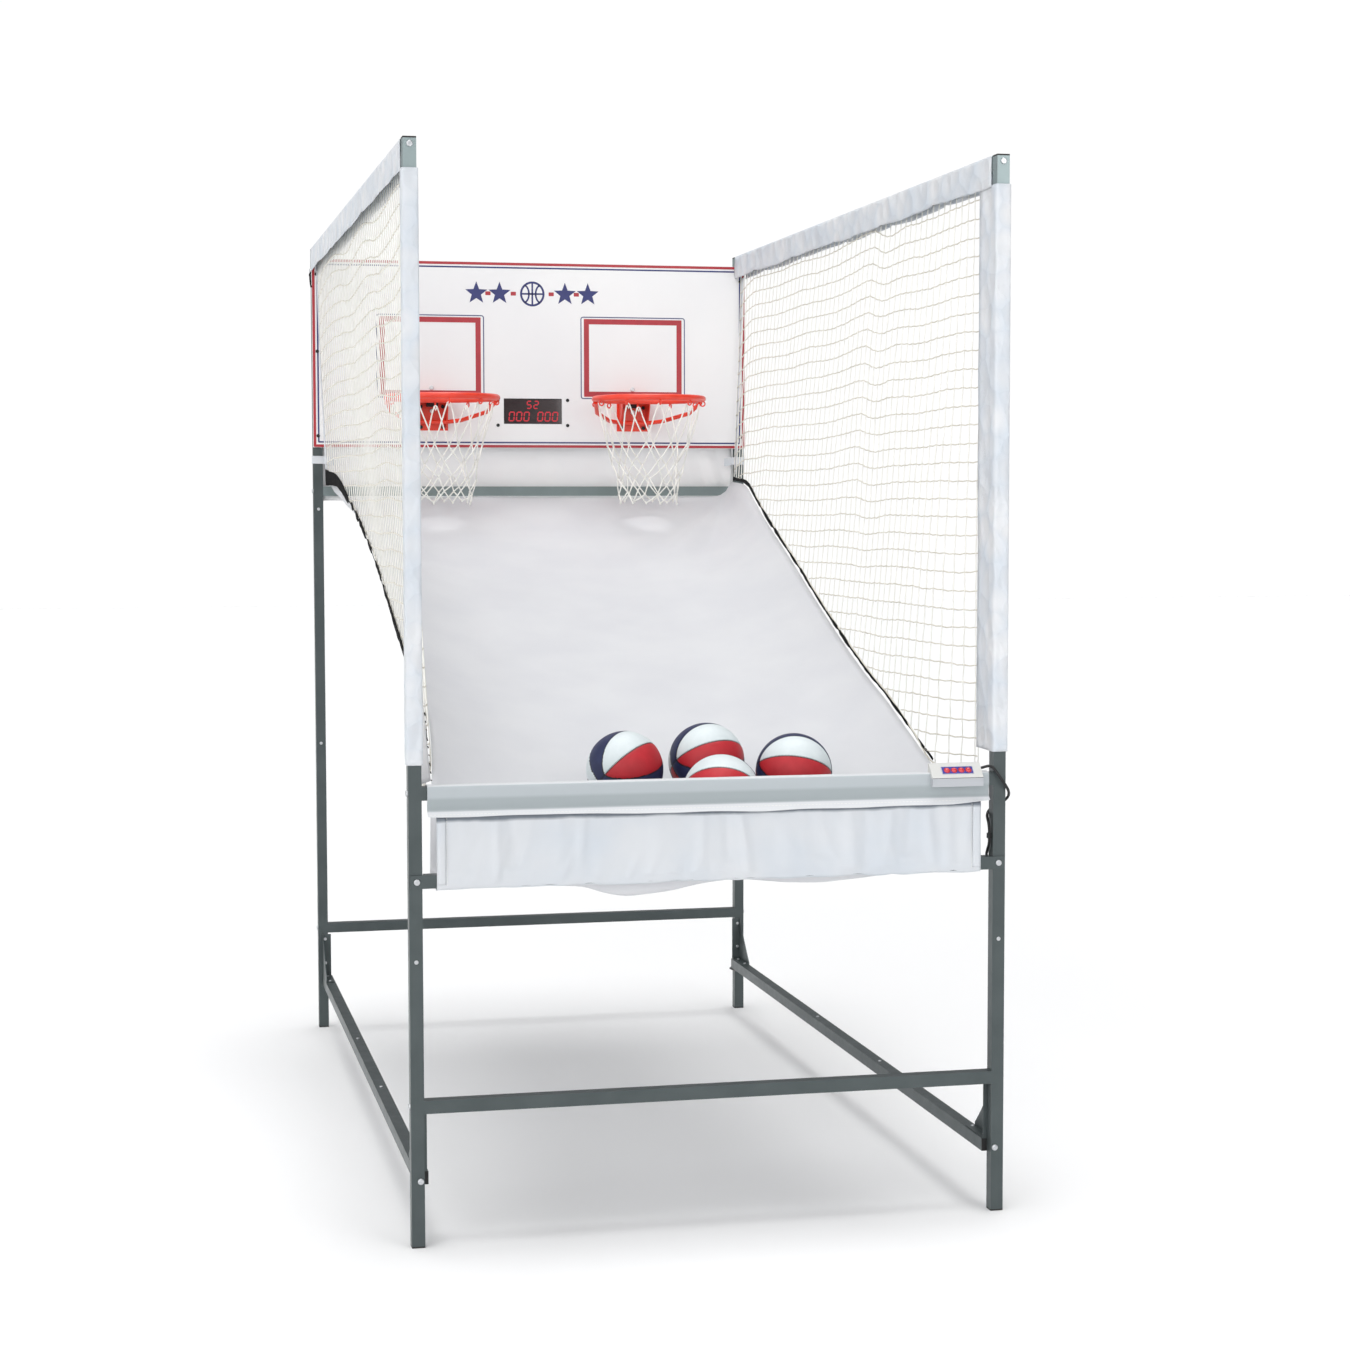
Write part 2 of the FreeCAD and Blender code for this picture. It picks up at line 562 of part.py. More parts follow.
def make_hoop(side, sign, holes):
    """A ring with its brace rod and net hooks, and the folded bracket that carries it."""
    x, y, z = sign * size("hoop_x"), size("hoop_y"), size("hoop_z")
    face = size("front") + size("depth") - size("tube") - size("board")
    ring_radius, tube_radius, rod = size("ring"), size("ring_tube"), size("rod")
    plate, low = size("plate"), size("bracket_low")
    ring = Part.makeTorus(ring_radius, tube_radius, Vec(x, y, z))
    cross_y, cross_z = face - 22, low + 22
    bend = [Vec(x + way * reach, at_y, at_z) for way, reach, at_y, at_z in (
        (-1, 140, y + 8, z - 9), (-1, 124, y + 71, z - 34), (-1, 72, cross_y - 26, cross_z + 4),
        (-1, 36, cross_y, cross_z), (1, 36, cross_y, cross_z), (1, 72, cross_y - 26, cross_z + 4),
        (1, 124, y + 71, z - 34), (1, 140, y + 8, z - 9))]
    brace = rod_through(bend, rod)
    hooks = []
    for number in range(HOOK_COUNT):
        turn = 2 * math.pi * (number + 0.5) / HOOK_COUNT
        spot = Vec(x + ring_radius * math.cos(turn), y + ring_radius * math.sin(turn),
                   z - tube_radius - HOOK_RADIUS + 0.8)
        tangent = Vec(-math.sin(turn), math.cos(turn), 0)
        hooks.append(Part.makeTorus(HOOK_RADIUS, HOOK_WIRE, spot, tangent))
    whole = ring.fuse([brace] + hooks)
    sub_part(f"{side}_rim", feature(f"{side}_rim_solid", whole))

    wide, high = size("bracket_wide"), size("bracket_high")
    back = Part.makeBox(wide, plate, high - low, Vec(x - wide / 2, face - plate, low))
    shelf_front = y + ring_radius - 4
    shelf = Part.makeBox(76, face - plate - shelf_front, plate,
                         Vec(x - 38, shelf_front, z - plate / 2))
    cheeks = []
    for way in (-1, 1):
        at = x + way * 38 - (plate if way > 0 else 0)
        corners = [Vec(at, face - plate, z), Vec(at, face - 56, z), Vec(at, face - 50, z - 20),
                   Vec(at, face - 18, low + 8), Vec(at, face - plate, low + 4)]
        outline = Part.makePolygon(corners + corners[:1])
        cheeks.append(Part.Face(outline).extrude(Vec(plate, 0, 0)))
    bracket = back.fuse([shelf] + cheeks)
    room = Part.makeTorus(ring_radius, tube_radius + 0.02, Vec(x, y, z))
    slot = rod_through(bend[2:6], rod + 0.02)
    solid = feature(f"{side}_bracket_solid", bracket.cut([room, slot]))
    sub_part(f"{side}_hoop_bracket", cut(f"{side}_bracket", solid, holes["hoop_bolts"],
                                         holes["frame_bolts"]))


def make_hoop_net(side, sign):
    """The room that a hoop's cord net takes: an open tapering sleeve."""
    x, y = sign * size("hoop_x"), size("hoop_y")
    top = Vec(x, y, size("hoop_z") - size("ring_tube") - 2 * HOOK_RADIUS - 4)
    drop = 254.0
    outer = Part.makeCone(131, 70, drop, top, Vec(0, 0, -1))
    inner = Part.makeCone(129, 68, drop + 0.02, top + Vec(0, 0, 0.01), Vec(0, 0, -1))
    sub_part(f"{side}_hoop_net", feature(f"{side}_net_solid", outer.cut(inner)))


def make_score_sensors():
    """A sensor block tucked in each hoop bracket, looking down into the ring."""
    blocks = [block(f"sensor_{side}", SENSOR,
                    (f"{sign} * dims.hoop_x", f"{BACK} - dims.board - dims.plate - 10",
                     "dims.hoop_z - 9"))
              for side, sign in SIDES]
    sub_part("score_sensors", *blocks)


# ---------------------------------------------------------------- fabric and nets

def sheet_solid(grid, shift):
    """A thin closed solid: a smooth surface through the grid, given thickness by shift."""
    surface = Part.BSplineSurface()
    surface.interpolate(grid)
    return Part.Face(surface).extrude(shift)


# the ramp's side edge, from the back to the front: reach from the middle, y behind the
# posts' front faces, height
EDGE = ((545, 2066, 1450), (533, 1880, 1441), (520, 1710, 1394), (510, 1575, 1351),
        (500, 1300, 1260), (495, 1060, 1170), (492, 815, 1080), (490, 620, 1015),
        (490, 441, 960), (500, 306, 899), (512, 215, 850), (524, 140, 790),
        (532, 85, 735), (537, 48, 702), (539, 30, 696))
RAMP_CURVE = 3.0        # how late the ramp curves up towards its edges
TAUT_FROM = 1300.0      # from this depth it is pulled flat towards the back rail
TAUT_CURVE = 30.0
RAMP_COLUMNS = (-1.0, -0.96, -0.9, -0.8, -0.65, -0.4, 0.0, 0.4, 0.65, 0.8, 0.9, 0.96, 1.0)


def belly(y):
    """Height of the ramp's middle line at a depth behind the posts' front faces."""
    line = ((30, 664), (48, 650), (66, 690), (85, 735), (110, 747), (140, 752), (180, 766),
            (215, 777), (306, 812), (1100, 1086), (2066, 1408))
    for (near, low), (far, high) in zip(line, line[1:]):
        if y <= far:
            return low + (high - low) * (y - near) / (far - near)
    return line[-1][1]


def ramp_height(x, y):
    """Height of the ramp above the floor at a point of its plan."""
    rows = sorted(EDGE, key=lambda row: row[1])
    for near, far in zip(rows, rows[1:]):
        if y <= far[1] or far is rows[-1]:
            part = (y - near[1]) / (far[1] - near[1])
            reach = near[0] + (far[0] - near[0]) * part
            edge = near[2] + (far[2] - near[2]) * part
            break
    middle = belly(y)
    taut = max(0.0, (y - TAUT_FROM) / (EDGE[0][1] - TAUT_FROM))
    curve = RAMP_CURVE + TAUT_CURVE * taut ** 2
    return middle + (edge - middle) * min(abs(x) / reach, 1.0) ** curve


def make_ball_ramp():
    """The ramp sheet from the back rail down into the trough."""
    front = size("front")
    grid = [[Vec(column * reach, front + y, ramp_height(column * reach, y))
             for column in RAMP_COLUMNS] for reach, y, edge in EDGE]
    sub_part("ball_ramp", feature("ball_ramp_solid", sheet_solid(grid, Vec(0, 0, -2))))


def make_side_net(side, sign):
    """One side net, from the top rail down to the ramp's edge."""
    front = size("front")
    start = size("tube") + size("hem_reach") + 1
    top = size("top_rail") - size("tube") / 2 - 1
    rows = [(reach + 5, min(y, 2058), edge + 27) for reach, y, edge in EDGE[:9]]
    rows += [(512, 306, 925), (532, 230, 900), (562, start, 885)]
    grid = []
    for reach, y, low in rows:
        line = []
        for part in (0.0, 0.25, 0.5, 0.75, 1.0):
            across = reach + (size("net_x") - reach) * part
            line.append(Vec(sign * across, front + y, low + (top - low) * part))
        grid.append(line)
    sub_part(f"{side}_side_net", feature(f"{side}_side_net_solid",
                                        sheet_solid(grid, Vec(sign * size("net"), 0, 0))))


def make_top_sleeve(side, sign):
    """The fabric channel over a top rail; the net hangs out between its flaps."""
    wide = "(dims.tube + 2 * dims.slack + 2 * dims.sleeve_wall)"
    near = "(dims.front + dims.tube + dims.slack + dims.sleeve_wall + 1)"
    far = f"({BACK} - dims.board - 1)"
    length = f"({far} - {near})"
    y = f"({far} + {near}) / 2"
    x = f"{sign} * {POST_X}"
    top = "(dims.top_rail + dims.tube / 2 + dims.slack)"
    outer = block(f"{side}_top_sleeve_outer",
                  (wide, length, f"({top} + dims.cloth - dims.top_sleeve_low)"),
                  (x, y, f"({top} + dims.cloth + dims.top_sleeve_low) / 2"))
    room = block(f"{side}_top_sleeve_room",
                 ("(dims.tube + 2 * dims.slack)", f"({length} + 2)",
                  f"({top} - dims.top_sleeve_low + 2)"),
                 (x, y, f"({top} + dims.top_sleeve_low - 2) / 2"))
    sub_part(f"{side}_top_sleeve", cut(f"{side}_top_sleeve", outer, room))


def make_front_sleeve(side, sign):
    """The fabric sleeve round a front post, with its flat hem along the net."""
    wide = "(dims.tube + 2 * dims.slack + 2 * dims.sleeve_wall)"
    room = "(dims.tube + 2 * dims.slack)"
    long = "(dims.sleeve_high - dims.sleeve_low)"
    z = "(dims.sleeve_high + dims.sleeve_low) / 2"
    x = f"{sign} * {POST_X}"
    y = "dims.front + dims.tube / 2"
    outer = block(f"{side}_sleeve_outer", (wide, wide, long), (x, y, z))
    hem = block(f"{side}_sleeve_hem", ("dims.sleeve_wall", "(dims.hem_reach + 1)",
                                       f"({long} - 8)"),
                (x, "dims.front + dims.tube + dims.slack + dims.hem_reach / 2", f"{z} - 4"))
    inside = block(f"{side}_sleeve_room", (room, room, f"({long} + 2)"), (x, y, z))
    sleeve = cut(f"{side}_sleeve", fuse(f"{side}_sleeve_whole", outer, hem), inside)
    sub_part(f"{side}_front_sleeve", sleeve)


def make_bar_cover():
    """The fabric round the top trough bar, with a flap that hangs in front of it."""
    wrap = "(dims.tube + 2 * dims.slack)"
    y = "dims.front + dims.tube / 2"
    long = "dims.cover_wide"
    outer = block("bar_cover_outer", (long, f"({wrap} + 2 * dims.cloth)",
                                      f"({wrap} + 2 * dims.cloth)"),
                  ("0", y, "dims.trough_bar"))
    flap = block("bar_cover_flap", (long, "dims.cloth", "dims.flap"),
                 ("0", "dims.front - dims.slack - dims.cloth / 2",
                  "dims.trough_bar - dims.tube / 2 + 10 - dims.flap / 2"))
    room = block("bar_cover_room", (f"({long} + 4)", wrap, wrap), ("0", y, "dims.trough_bar"))
    cover = cut("bar_cover", fuse("bar_cover_whole", outer, flap), room)
    sub_part("trough_bar_cover", cover)


def make_front_panel():
    """The trough's front panel, gathered and wrapped under the lower bar."""
    y = "dims.front - dims.tab + dims.tube / 2"
    wrap = "(dims.tube + 2 * dims.slack)"
    bulk = "dims.sleeve_wall"
    low = "(dims.panel_bar - dims.tube / 2 - dims.slack - dims.sleeve_wall)"
    high = "(dims.trough_bar - dims.tube / 2 - dims.slack - dims.cloth - 1)"
    long = "dims.panel_wide"
    front = block("panel_front", (long, bulk, f"({high} - {low})"),
                  ("0", "dims.front - dims.tab - dims.slack - dims.sleeve_wall / 2",
                   f"({high} + {low}) / 2"))
    under = block("panel_under", (long, f"({wrap} + 2 * {bulk})", bulk),
                  ("0", y, f"{low} + {bulk} / 2"))
    behind = block("panel_behind", (long, bulk, "dims.panel_behind"),
                   ("0", "dims.front - dims.tab + dims.tube + dims.slack + dims.sleeve_wall / 2",
                    f"{low} + dims.panel_behind / 2"))
    sub_part("front_panel", fuse("front_panel_whole", front, under, behind))


def make_rear_skirt():
    """The fabric that closes the gap between the board and the ramp's back rail."""
    low = "(dims.ramp_rail - dims.tube / 2 - 12)"
    high = "(dims.board_bottom + 20)"
    sub_part("rear_skirt", block("rear_skirt_sheet",
                                 ("(dims.width - 2 * dims.tube - 4)", "dims.cloth",
                                  f"({high} - {low})"),
                                 ("0", f"{BACK} + dims.tube + dims.slack + dims.cloth / 2",
                                  f"({high} + {low}) / 2")))


def make_edge_bands():
    """Hook-and-loop bands that close the gap between each net and the ramp."""
    front = size("front")
    bands = []
    for sign in (-1, 1):
        grid = []
        for reach, y, edge in EDGE[:9]:
            low = Vec(sign * (reach + 1), front + min(y, 2058), edge + 5)
            high = Vec(sign * (reach + 4), front + min(y, 2058), edge + 23)
            grid.append([low, (low + high) / 2, high])
        bands.append(feature(f"edge_band_{sign + 1}", sheet_solid(grid, Vec(sign * 1.5, 0, 0))))
    sub_part("edge_bands", *bands)


def make_net_straps():
    """Webbing loops round the rear posts that hold the nets' back corners."""
    straps = []
    for side, sign in SIDES:
        middle = (f"{sign} * {POST_X}", f"{BACK} + dims.tube / 2", "dims.strap_z")
        wide = "(dims.tube + 2 * dims.slack + 2 * dims.cloth)"
        outer = block(f"strap_{side}_outer", (wide, wide, "dims.strap"), middle)
        room = block(f"strap_{side}_room", ("(dims.tube + 2 * dims.slack)",
                                            "(dims.tube + 2 * dims.slack)", "(dims.strap + 3)"), middle)
        straps.append(cut(f"strap_{side}", outer, room))
    sub_part("net_straps", *straps)


# ---------------------------------------------------------------- control box

def box_slope():
    """Tilt of the box's face, in radians."""
    return math.atan2(size("box_back") - size("box_lip"), size("box_run"))


def top_point(back, x=0.0, depth=0.0):
    """A point on the box's face, some way up from its front edge and below its skin."""
    tilt = box_slope()
    start = Vec(x, size("front") + size("box_front"), size("box_lip"))
    along = Vec(0, math.cos(tilt), math.sin(tilt))
    normal = Vec(0, -math.sin(tilt), math.cos(tilt))
    return start + along * back - normal * depth


BUTTON_TRAVEL = 1.2
BUTTON_DOME = 4.0
BUTTON_FLANGE = 1.0
CROWN_RADIUS = 7.2


def make_control_box():
    """A sloping shell on the edge of the trough bar, its base, circuit board and label."""
    front = size("front") + size("box_front")
    back = front + size("box_deep")
    low, lip, top = size("box_low"), size("box_lip"), size("box_back")
    shell = size("shell")
    body = doc.addObject("PartDesign::Body", "cover_body")
    side = sketch_on(body, "cover_side", "YZ_Plane", {"z": "dims.box_x"})
    ridge = front + size("box_run")
    polygon(side, ((front, low), (back, low), (back, top), (ridge, top), (front, lip)))
    extrude(body, "Pad", "cover_pad", side, "dims.box_wide")
    hollow = sketch_on(body, "cover_hollow", "YZ_Plane", {"z": "dims.box_x"})
    rise = (top - lip) / size("box_run")
    inner = lip - shell / math.cos(box_slope())
    polygon(hollow, ((front + shell, low - 1), (back - shell, low - 1), (back - shell, top - shell),
                     (front + (top - shell - inner) / rise, top - shell),
                     (front + shell, inner + rise * shell)))
    extrude(body, "Pocket", "cover_cut", hollow, "dims.box_wide - 2 * dims.shell")
    saddle = block("cover_saddle", ("dims.box_wide + 2", "dims.tube + 7.5", "40"),
                   ("dims.box_x", "dims.front + dims.tube / 2",
                    "dims.trough_bar + dims.tube / 2 + 2 - 20"))
    holes = []
    tilt = FreeCAD.Rotation(OUT_X, math.degrees(box_slope()))
    for number in range(4):
        x = size("button_x") + number * size("button_pitch")
        seat = top_point(size("button_back"), x, 4)
        holes.append(Part.makeCylinder(size("button") + 0.3, 8, seat, tilt.multVec(OUT_Z)))
    exit_at = Vec(size("box_x") + size("box_wide") / 2 - 4, CABLE_EXIT_Y, CABLE_EXIT_Z)
    holes.append(Part.makeCylinder(size("cable") + 0.3, 8, exit_at, OUT_X))
    openings = feature("cover_openings", Part.makeCompound(holes))
    sub_part("control_box_cover", cut("control_cover", body, saddle, openings))

    floor = block("box_floor", ("dims.box_wide - 2 * dims.shell - 0.6", "11.6", "dims.shell"),
                  ("dims.box_x", "dims.front - 9.9", "dims.box_low + dims.shell / 2"))
    wall = block("box_wall", ("dims.box_wide - 2 * dims.shell - 0.6", "1.5", "21"),
                 ("dims.box_x", "dims.front - 4.85", "dims.box_low + 10.5"))
    posts = [doc.addObject("Part::Cylinder", f"box_post_{side}") for side, sign in SIDES]
    for post, (side, sign) in zip(posts, SIDES):
        post.Radius = 3
        post.Height = 14
        post.setExpression("Placement.Base.x", f"dims.box_x + {sign} * 42")
        post.setExpression("Placement.Base.y", "dims.front - 10.5")
        post.setExpression("Placement.Base.z", "dims.box_low + 1")
    sub_part("control_box_base", fuse("control_base", floor, wall, *posts))

    card = Part.makeBox(70, 8, 0.8)
    card.Placement = FreeCAD.Placement(top_point(17.8, size("box_x") - 32, 6.0), tilt)
    up = tilt.multVec(OUT_Z)
    switches = [Part.makeCylinder(1.8, 0.7, top_point(
        19.8, size("button_x") + number * size("button_pitch"), 5.3), up) for number in range(4)]
    sub_part("control_circuit_board", feature("control_card", card.fuse(switches)))

    label = Part.makeBox(64, 18.4, 0.3)
    label.Placement = FreeCAD.Placement(
        top_point(size("button_back") - 9.2, size("box_x") - 29.5, -0.02), tilt)
    label = label.cut(holes[:4])
    sub_part("control_label", feature("control_label_solid", label))
    for number in range(4):
        make_button(number, tilt)


def make_button(number, tilt):
    """A domed push button whose flange stays under the cover."""
    name = f"button_{number + 1}"
    flange = doc.addObject("Part::Cylinder", name + "_flange")
    flange.setExpression("Radius", "dims.button + 0.7")
    flange.Height = BUTTON_FLANGE
    flange.Placement.Base.z = -size("shell") - BUTTON_TRAVEL
    stem = doc.addObject("Part::Cylinder", name + "_stem")
    stem.setExpression("Radius", "dims.button")
    stem.Height = size("shell") + BUTTON_TRAVEL + BUTTON_DOME
    stem.Placement.Base.z = -size("shell") - BUTTON_TRAVEL
    crown = doc.addObject("Part::Sphere", name + "_crown")
    crown.Radius = CROWN_RADIUS
    crown.Placement.Base.z = BUTTON_DOME - CROWN_RADIUS
    domed = doc.addObject("Part::Common", name + "_domed")
    domed.Base = stem
    domed.Tool = crown
    button = fuse(name, flange, domed)
    place = top_point(size("button_back"), size("button_x") + number * size("button_pitch"))
    button.Placement = FreeCAD.Placement(place, tilt)
    sub_part(name, button)


# ---------------------------------------------------------------- control cable

CABLE_EXIT_Y = -1046.5
CABLE_EXIT_Z = 874.5
CLIP_SKIN = 1.2


def rounded_path(points):
    """Straight runs joined by tangent arcs, each as large as its two runs allow."""
    edges = []
    start = points[0]
    radii = []
    for before, corner, after in zip(points, points[1:], points[2:]):
        back = (before - corner).normalize()
        ahead = (after - corner).normalize()
        turn = math.pi - back.getAngle(ahead)
        run = min((before - corner).Length, (after - corner).Length)
        reach = 0.45 * run
        radii.append(reach / math.tan(turn / 2))
        first, last = corner + back * reach, corner + ahead * reach
        middle = (back + ahead).normalize()
        centre_gap = radii[-1] / math.cos(turn / 2)
        top = corner + middle * (centre_gap - radii[-1])
        edges.append(Part.LineSegment(start, first).toShape())
        edges.append(Part.Arc(first, top, last).toShape())
        start = last
    edges.append(Part.LineSegment(start, points[-1]).toShape())
    return Part.Wire(edges), radii


def cable_solid(name, points):
    """A round cable swept along its rounded route."""
    wire, radii = rounded_path(points)
    radius = size("cable")
    way = (points[1] - points[0]).normalize()
    ring = Part.Wire(Part.makeCircle(radius, points[0], way))
    solid = wire.makePipeShell([ring], True, False)
    ideal = math.pi * radius ** 2 * wire.Length
    print(f"{name}: {wire.Length:.0f} mm long, tightest bend {min(radii):.1f} mm, "
          f"volume {solid.Volume / ideal:.4f} of ideal")
    return feature(name + "_solid", solid)


# the free loop: out of the box's end, over the trough bar, in front of the right front post,
# round it and back to its inner face, where the first clip holds it
LOOP = ((531, 6, 874.5), (541, 6.2, 877.5), (550, 2.5, 880), (555, -5, 877), (559, -10, 870),
         (569, -14, 855), (579, -13, 841), (588, -5, 829), (592, 8, 819),
        (590, 21, 810), (582, 31, 802), (570, 35, 796), (559, 33, 788), (553, 24, 779),
        (553.4, 14.5, 767), (554.4, 12.5, 753), (554.4, 12.5, 741))
# the clipped run: behind the post and down it, back under the lower rail, up behind the rear
# post, and along the back of the board to the display
RUN = ((554.4, 12.5, 741), (554.4, 12.5, 727), (553.2, 20, 713), (555, 32, 700),
       (564, 34, 684), (573, 31, 664), (577, 28.6, 636), (577.4, 28.3, 600), (577.6, 28.3, 200),
       (577.8, 30, 140), (577.4, 38, 112), (573, 62, 105), (566, 110, 109), (565, 170, 110.8),
       (562, 1960, 110.8), (556, 2050, 110.5), (550.5, 2092, 108), (553, 2114, 106),
       (567, 2116, 110), (577.5, 2112, 124), (577.5, 2109.6, 155), (576, 2109.5, 200),
       (576, 2109.5, 1520), (573, 2110, 1590), (556, 2110, 1626), (520, 2095, 1641),
       (450, 2086.4, 1641), (190, 2086, 1638.5), (106, 2086, 1637.5))
# each clip: where it is on the run, the way to the surface that it sticks to, the cable's way
CLIPS = ((554.4, 12.5, 742, OUT_X, OUT_Z), (577.4, 28.3, 560, OUT_Y * -1, OUT_Z),
         (577.6, 28.3, 280, OUT_Y * -1, OUT_Z), (564.9, 200, 110.8, OUT_Z, OUT_Y),
         (563.5, 1040, 110.8, OUT_Z, OUT_Y), (562.1, 1900, 110.8, OUT_Z, OUT_Y),
         (576, 2109.5, 300, OUT_Y * -1, OUT_Z), (576, 2109.5, 800, OUT_Y * -1, OUT_Z),
         (576, 2109.5, 1350, OUT_Y * -1, OUT_Z))


def make_cable():
    """One cable in two stretches: a free loop, and the run that clips hold to the frame."""
    front = size("front")
    for name, route in (("control_cable", LOOP), ("clipped_cable", RUN)):
        points = [Vec(x, front + y, z) for x, y, z in route]
        sub_part(name, cable_solid(name, points))


def clip_gap(centre, toward):
    """Distance from a clip's cable to the tube's surface."""
    if toward.x > 0:
        return size("width") / 2 - size("tube") - centre.x
    if toward.z > 0:
        return size("side_rail") - size("tube") / 2 - centre.z
    behind_rear_post = size("front") + size("depth")
    behind_front_post = size("front") + size("tube")
    return centre.y - (behind_rear_post if centre.y > 0 else behind_front_post)


def make_cable_clips():
    """Small blocks stuck to the tubes, each with the cable through it."""
    radius = size("cable")
    clips = []
    for x, y, z, toward, along in CLIPS:
        centre = Vec(x, size("front") + y, z)
        high = clip_gap(centre, toward) + radius + CLIP_SKIN
        clip = Part.makeBox(10, 9, high, Vec(-5, -4.5, -radius - CLIP_SKIN))
        clip = clip.cut(Part.makeCylinder(radius + 0.1, 12, Vec(-6, 0, 0), OUT_X))
        turn = FreeCAD.Rotation(along, toward.cross(along), toward, "XZY")
        clip.Placement = FreeCAD.Placement(centre, turn)
        clips.append(clip)
    sub_part("cable_clips", feature("cable_clip_solids", Part.makeCompound(clips)))


# ---------------------------------------------------------------- balls

# middles of the balls, y behind the front faces of the front posts
BALLS = ((-128, 226, 866.5), (45, 258, 876.5), (38, 104, 828), (208, 192, 858))


def make_balls():
    """Four balls at rest in the trough."""
    front = size("front")
    for number, (x, y, z) in enumerate(BALLS, start=1):
        outside = doc.addObject("Part::Sphere", f"ball_{number}_outside")
        outside.setExpression("Radius", "dims.ball")
        inside = doc.addObject("Part::Sphere", f"ball_{number}_inside")
        inside.setExpression("Radius", "dims.ball - dims.ball_wall")
        ball = cut(f"ball_{number}", outside, inside)
        ball.Placement.Base = Vec(x, front + y, z)
        sub_part(f"ball_{number}", ball)


def export():
    """Check every object of the document, then write one file per sub-part."""
    doc.recompute()
    for thing in doc.Objects:
        if "Invalid" in thing.State or "Error" in thing.State:
            raise RuntimeError(f"{thing.Name} failed: {thing.State}")
    os.makedirs("parts", exist_ok=True)
    for thing in sub_parts:
        if thing.Shape.isNull() or not thing.Shape.isValid():
            raise RuntimeError(f"{thing.Label} has no valid shape")
        thing.Shape.exportStep(f"parts/{thing.Label}.step")
    print(len(sub_parts), "sub-parts written")


def main():
    holes = make_fasteners()
    make_posts(holes)
    make_post_caps()
    make_crossbars()
    make_trough_lower_bar(holes)
    make_side_rails(holes)
    make_couplers(holes)
    make_bar_plugs(holes)
    make_gussets(holes)
    make_backboard(holes)
    make_display(holes)
    for side, sign in SIDES:
        make_hoop(side, sign, holes)
        make_hoop_net(side, sign)
        make_side_net(side, sign)
        make_top_sleeve(side, sign)
        make_front_sleeve(side, sign)
    make_score_sensors()
    make_ball_ramp()
    make_front_panel()
    make_bar_cover()
    make_rear_skirt()
    make_edge_bands()
    make_net_straps()
    make_control_box()
    make_cable()
    make_cable_clips()
    make_balls()
    export()


main()
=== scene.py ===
"""Basketball hoop machine: the visual model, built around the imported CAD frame."""
import json
import math
import random

import bmesh
import bpy
from mathutils import Matrix, Vector, noise


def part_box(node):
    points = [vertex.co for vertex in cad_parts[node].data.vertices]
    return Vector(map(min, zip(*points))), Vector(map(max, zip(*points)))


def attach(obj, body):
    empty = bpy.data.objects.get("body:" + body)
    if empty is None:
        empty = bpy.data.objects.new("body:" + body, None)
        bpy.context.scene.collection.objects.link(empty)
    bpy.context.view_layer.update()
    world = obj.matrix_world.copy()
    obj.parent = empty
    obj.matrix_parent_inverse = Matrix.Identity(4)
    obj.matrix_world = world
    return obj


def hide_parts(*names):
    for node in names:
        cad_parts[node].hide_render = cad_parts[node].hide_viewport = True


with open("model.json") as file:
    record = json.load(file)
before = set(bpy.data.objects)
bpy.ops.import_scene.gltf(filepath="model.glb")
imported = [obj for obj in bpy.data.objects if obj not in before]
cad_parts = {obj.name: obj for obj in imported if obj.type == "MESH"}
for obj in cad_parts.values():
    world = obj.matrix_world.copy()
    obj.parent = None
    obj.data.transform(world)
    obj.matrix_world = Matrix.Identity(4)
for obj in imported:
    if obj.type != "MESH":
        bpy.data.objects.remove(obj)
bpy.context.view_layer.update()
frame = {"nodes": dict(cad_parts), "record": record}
NODES = frame["nodes"]
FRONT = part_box("front_left_post")[0].y
RAIL_X = 570                   # millimetres from the middle to the side rails and the posts
SIDES = (("left", -1), ("right", 1))


def at(x, y, z):
    """A point from millimetres: x from the middle, y behind the front posts' faces, z up."""
    return Vector((x * 0.001, FRONT + y * 0.001, z * 0.001))


def put(name, data):
    """A new object in the scene, with the data given."""
    made = bpy.data.objects.new(name, data)
    bpy.context.scene.collection.objects.link(made)
    return made


def rotation(axis, degrees):
    return Matrix.Rotation(math.radians(degrees), 4, axis)


# ---- camera

def make_camera():
    """Placed by fitting the frame's corners."""
    data = bpy.data.cameras.new("camera")
    data.sensor_width, data.lens = 36.0, 67.87
    data.clip_start, data.clip_end = 0.1, 60.0
    camera = put("camera", data)
    turn = rotation("Z", -12.654) @ rotation("X", 90 - 3.805) @ rotation("Z", -0.096)
    camera.matrix_world = Matrix.Translation(at(-1125.7, -4671.3, 1385.4)) @ turn
    bpy.context.scene.camera = camera


make_camera()


# ---- materials

def srgb(red, green, blue):
    """A linear colour from 0 to 255 display values."""
    def one(c):
        c /= 255
        return c / 12.92 if c <= 0.04045 else ((c + 0.055) / 1.055) ** 2.4
    return one(red), one(green), one(blue), 1.0


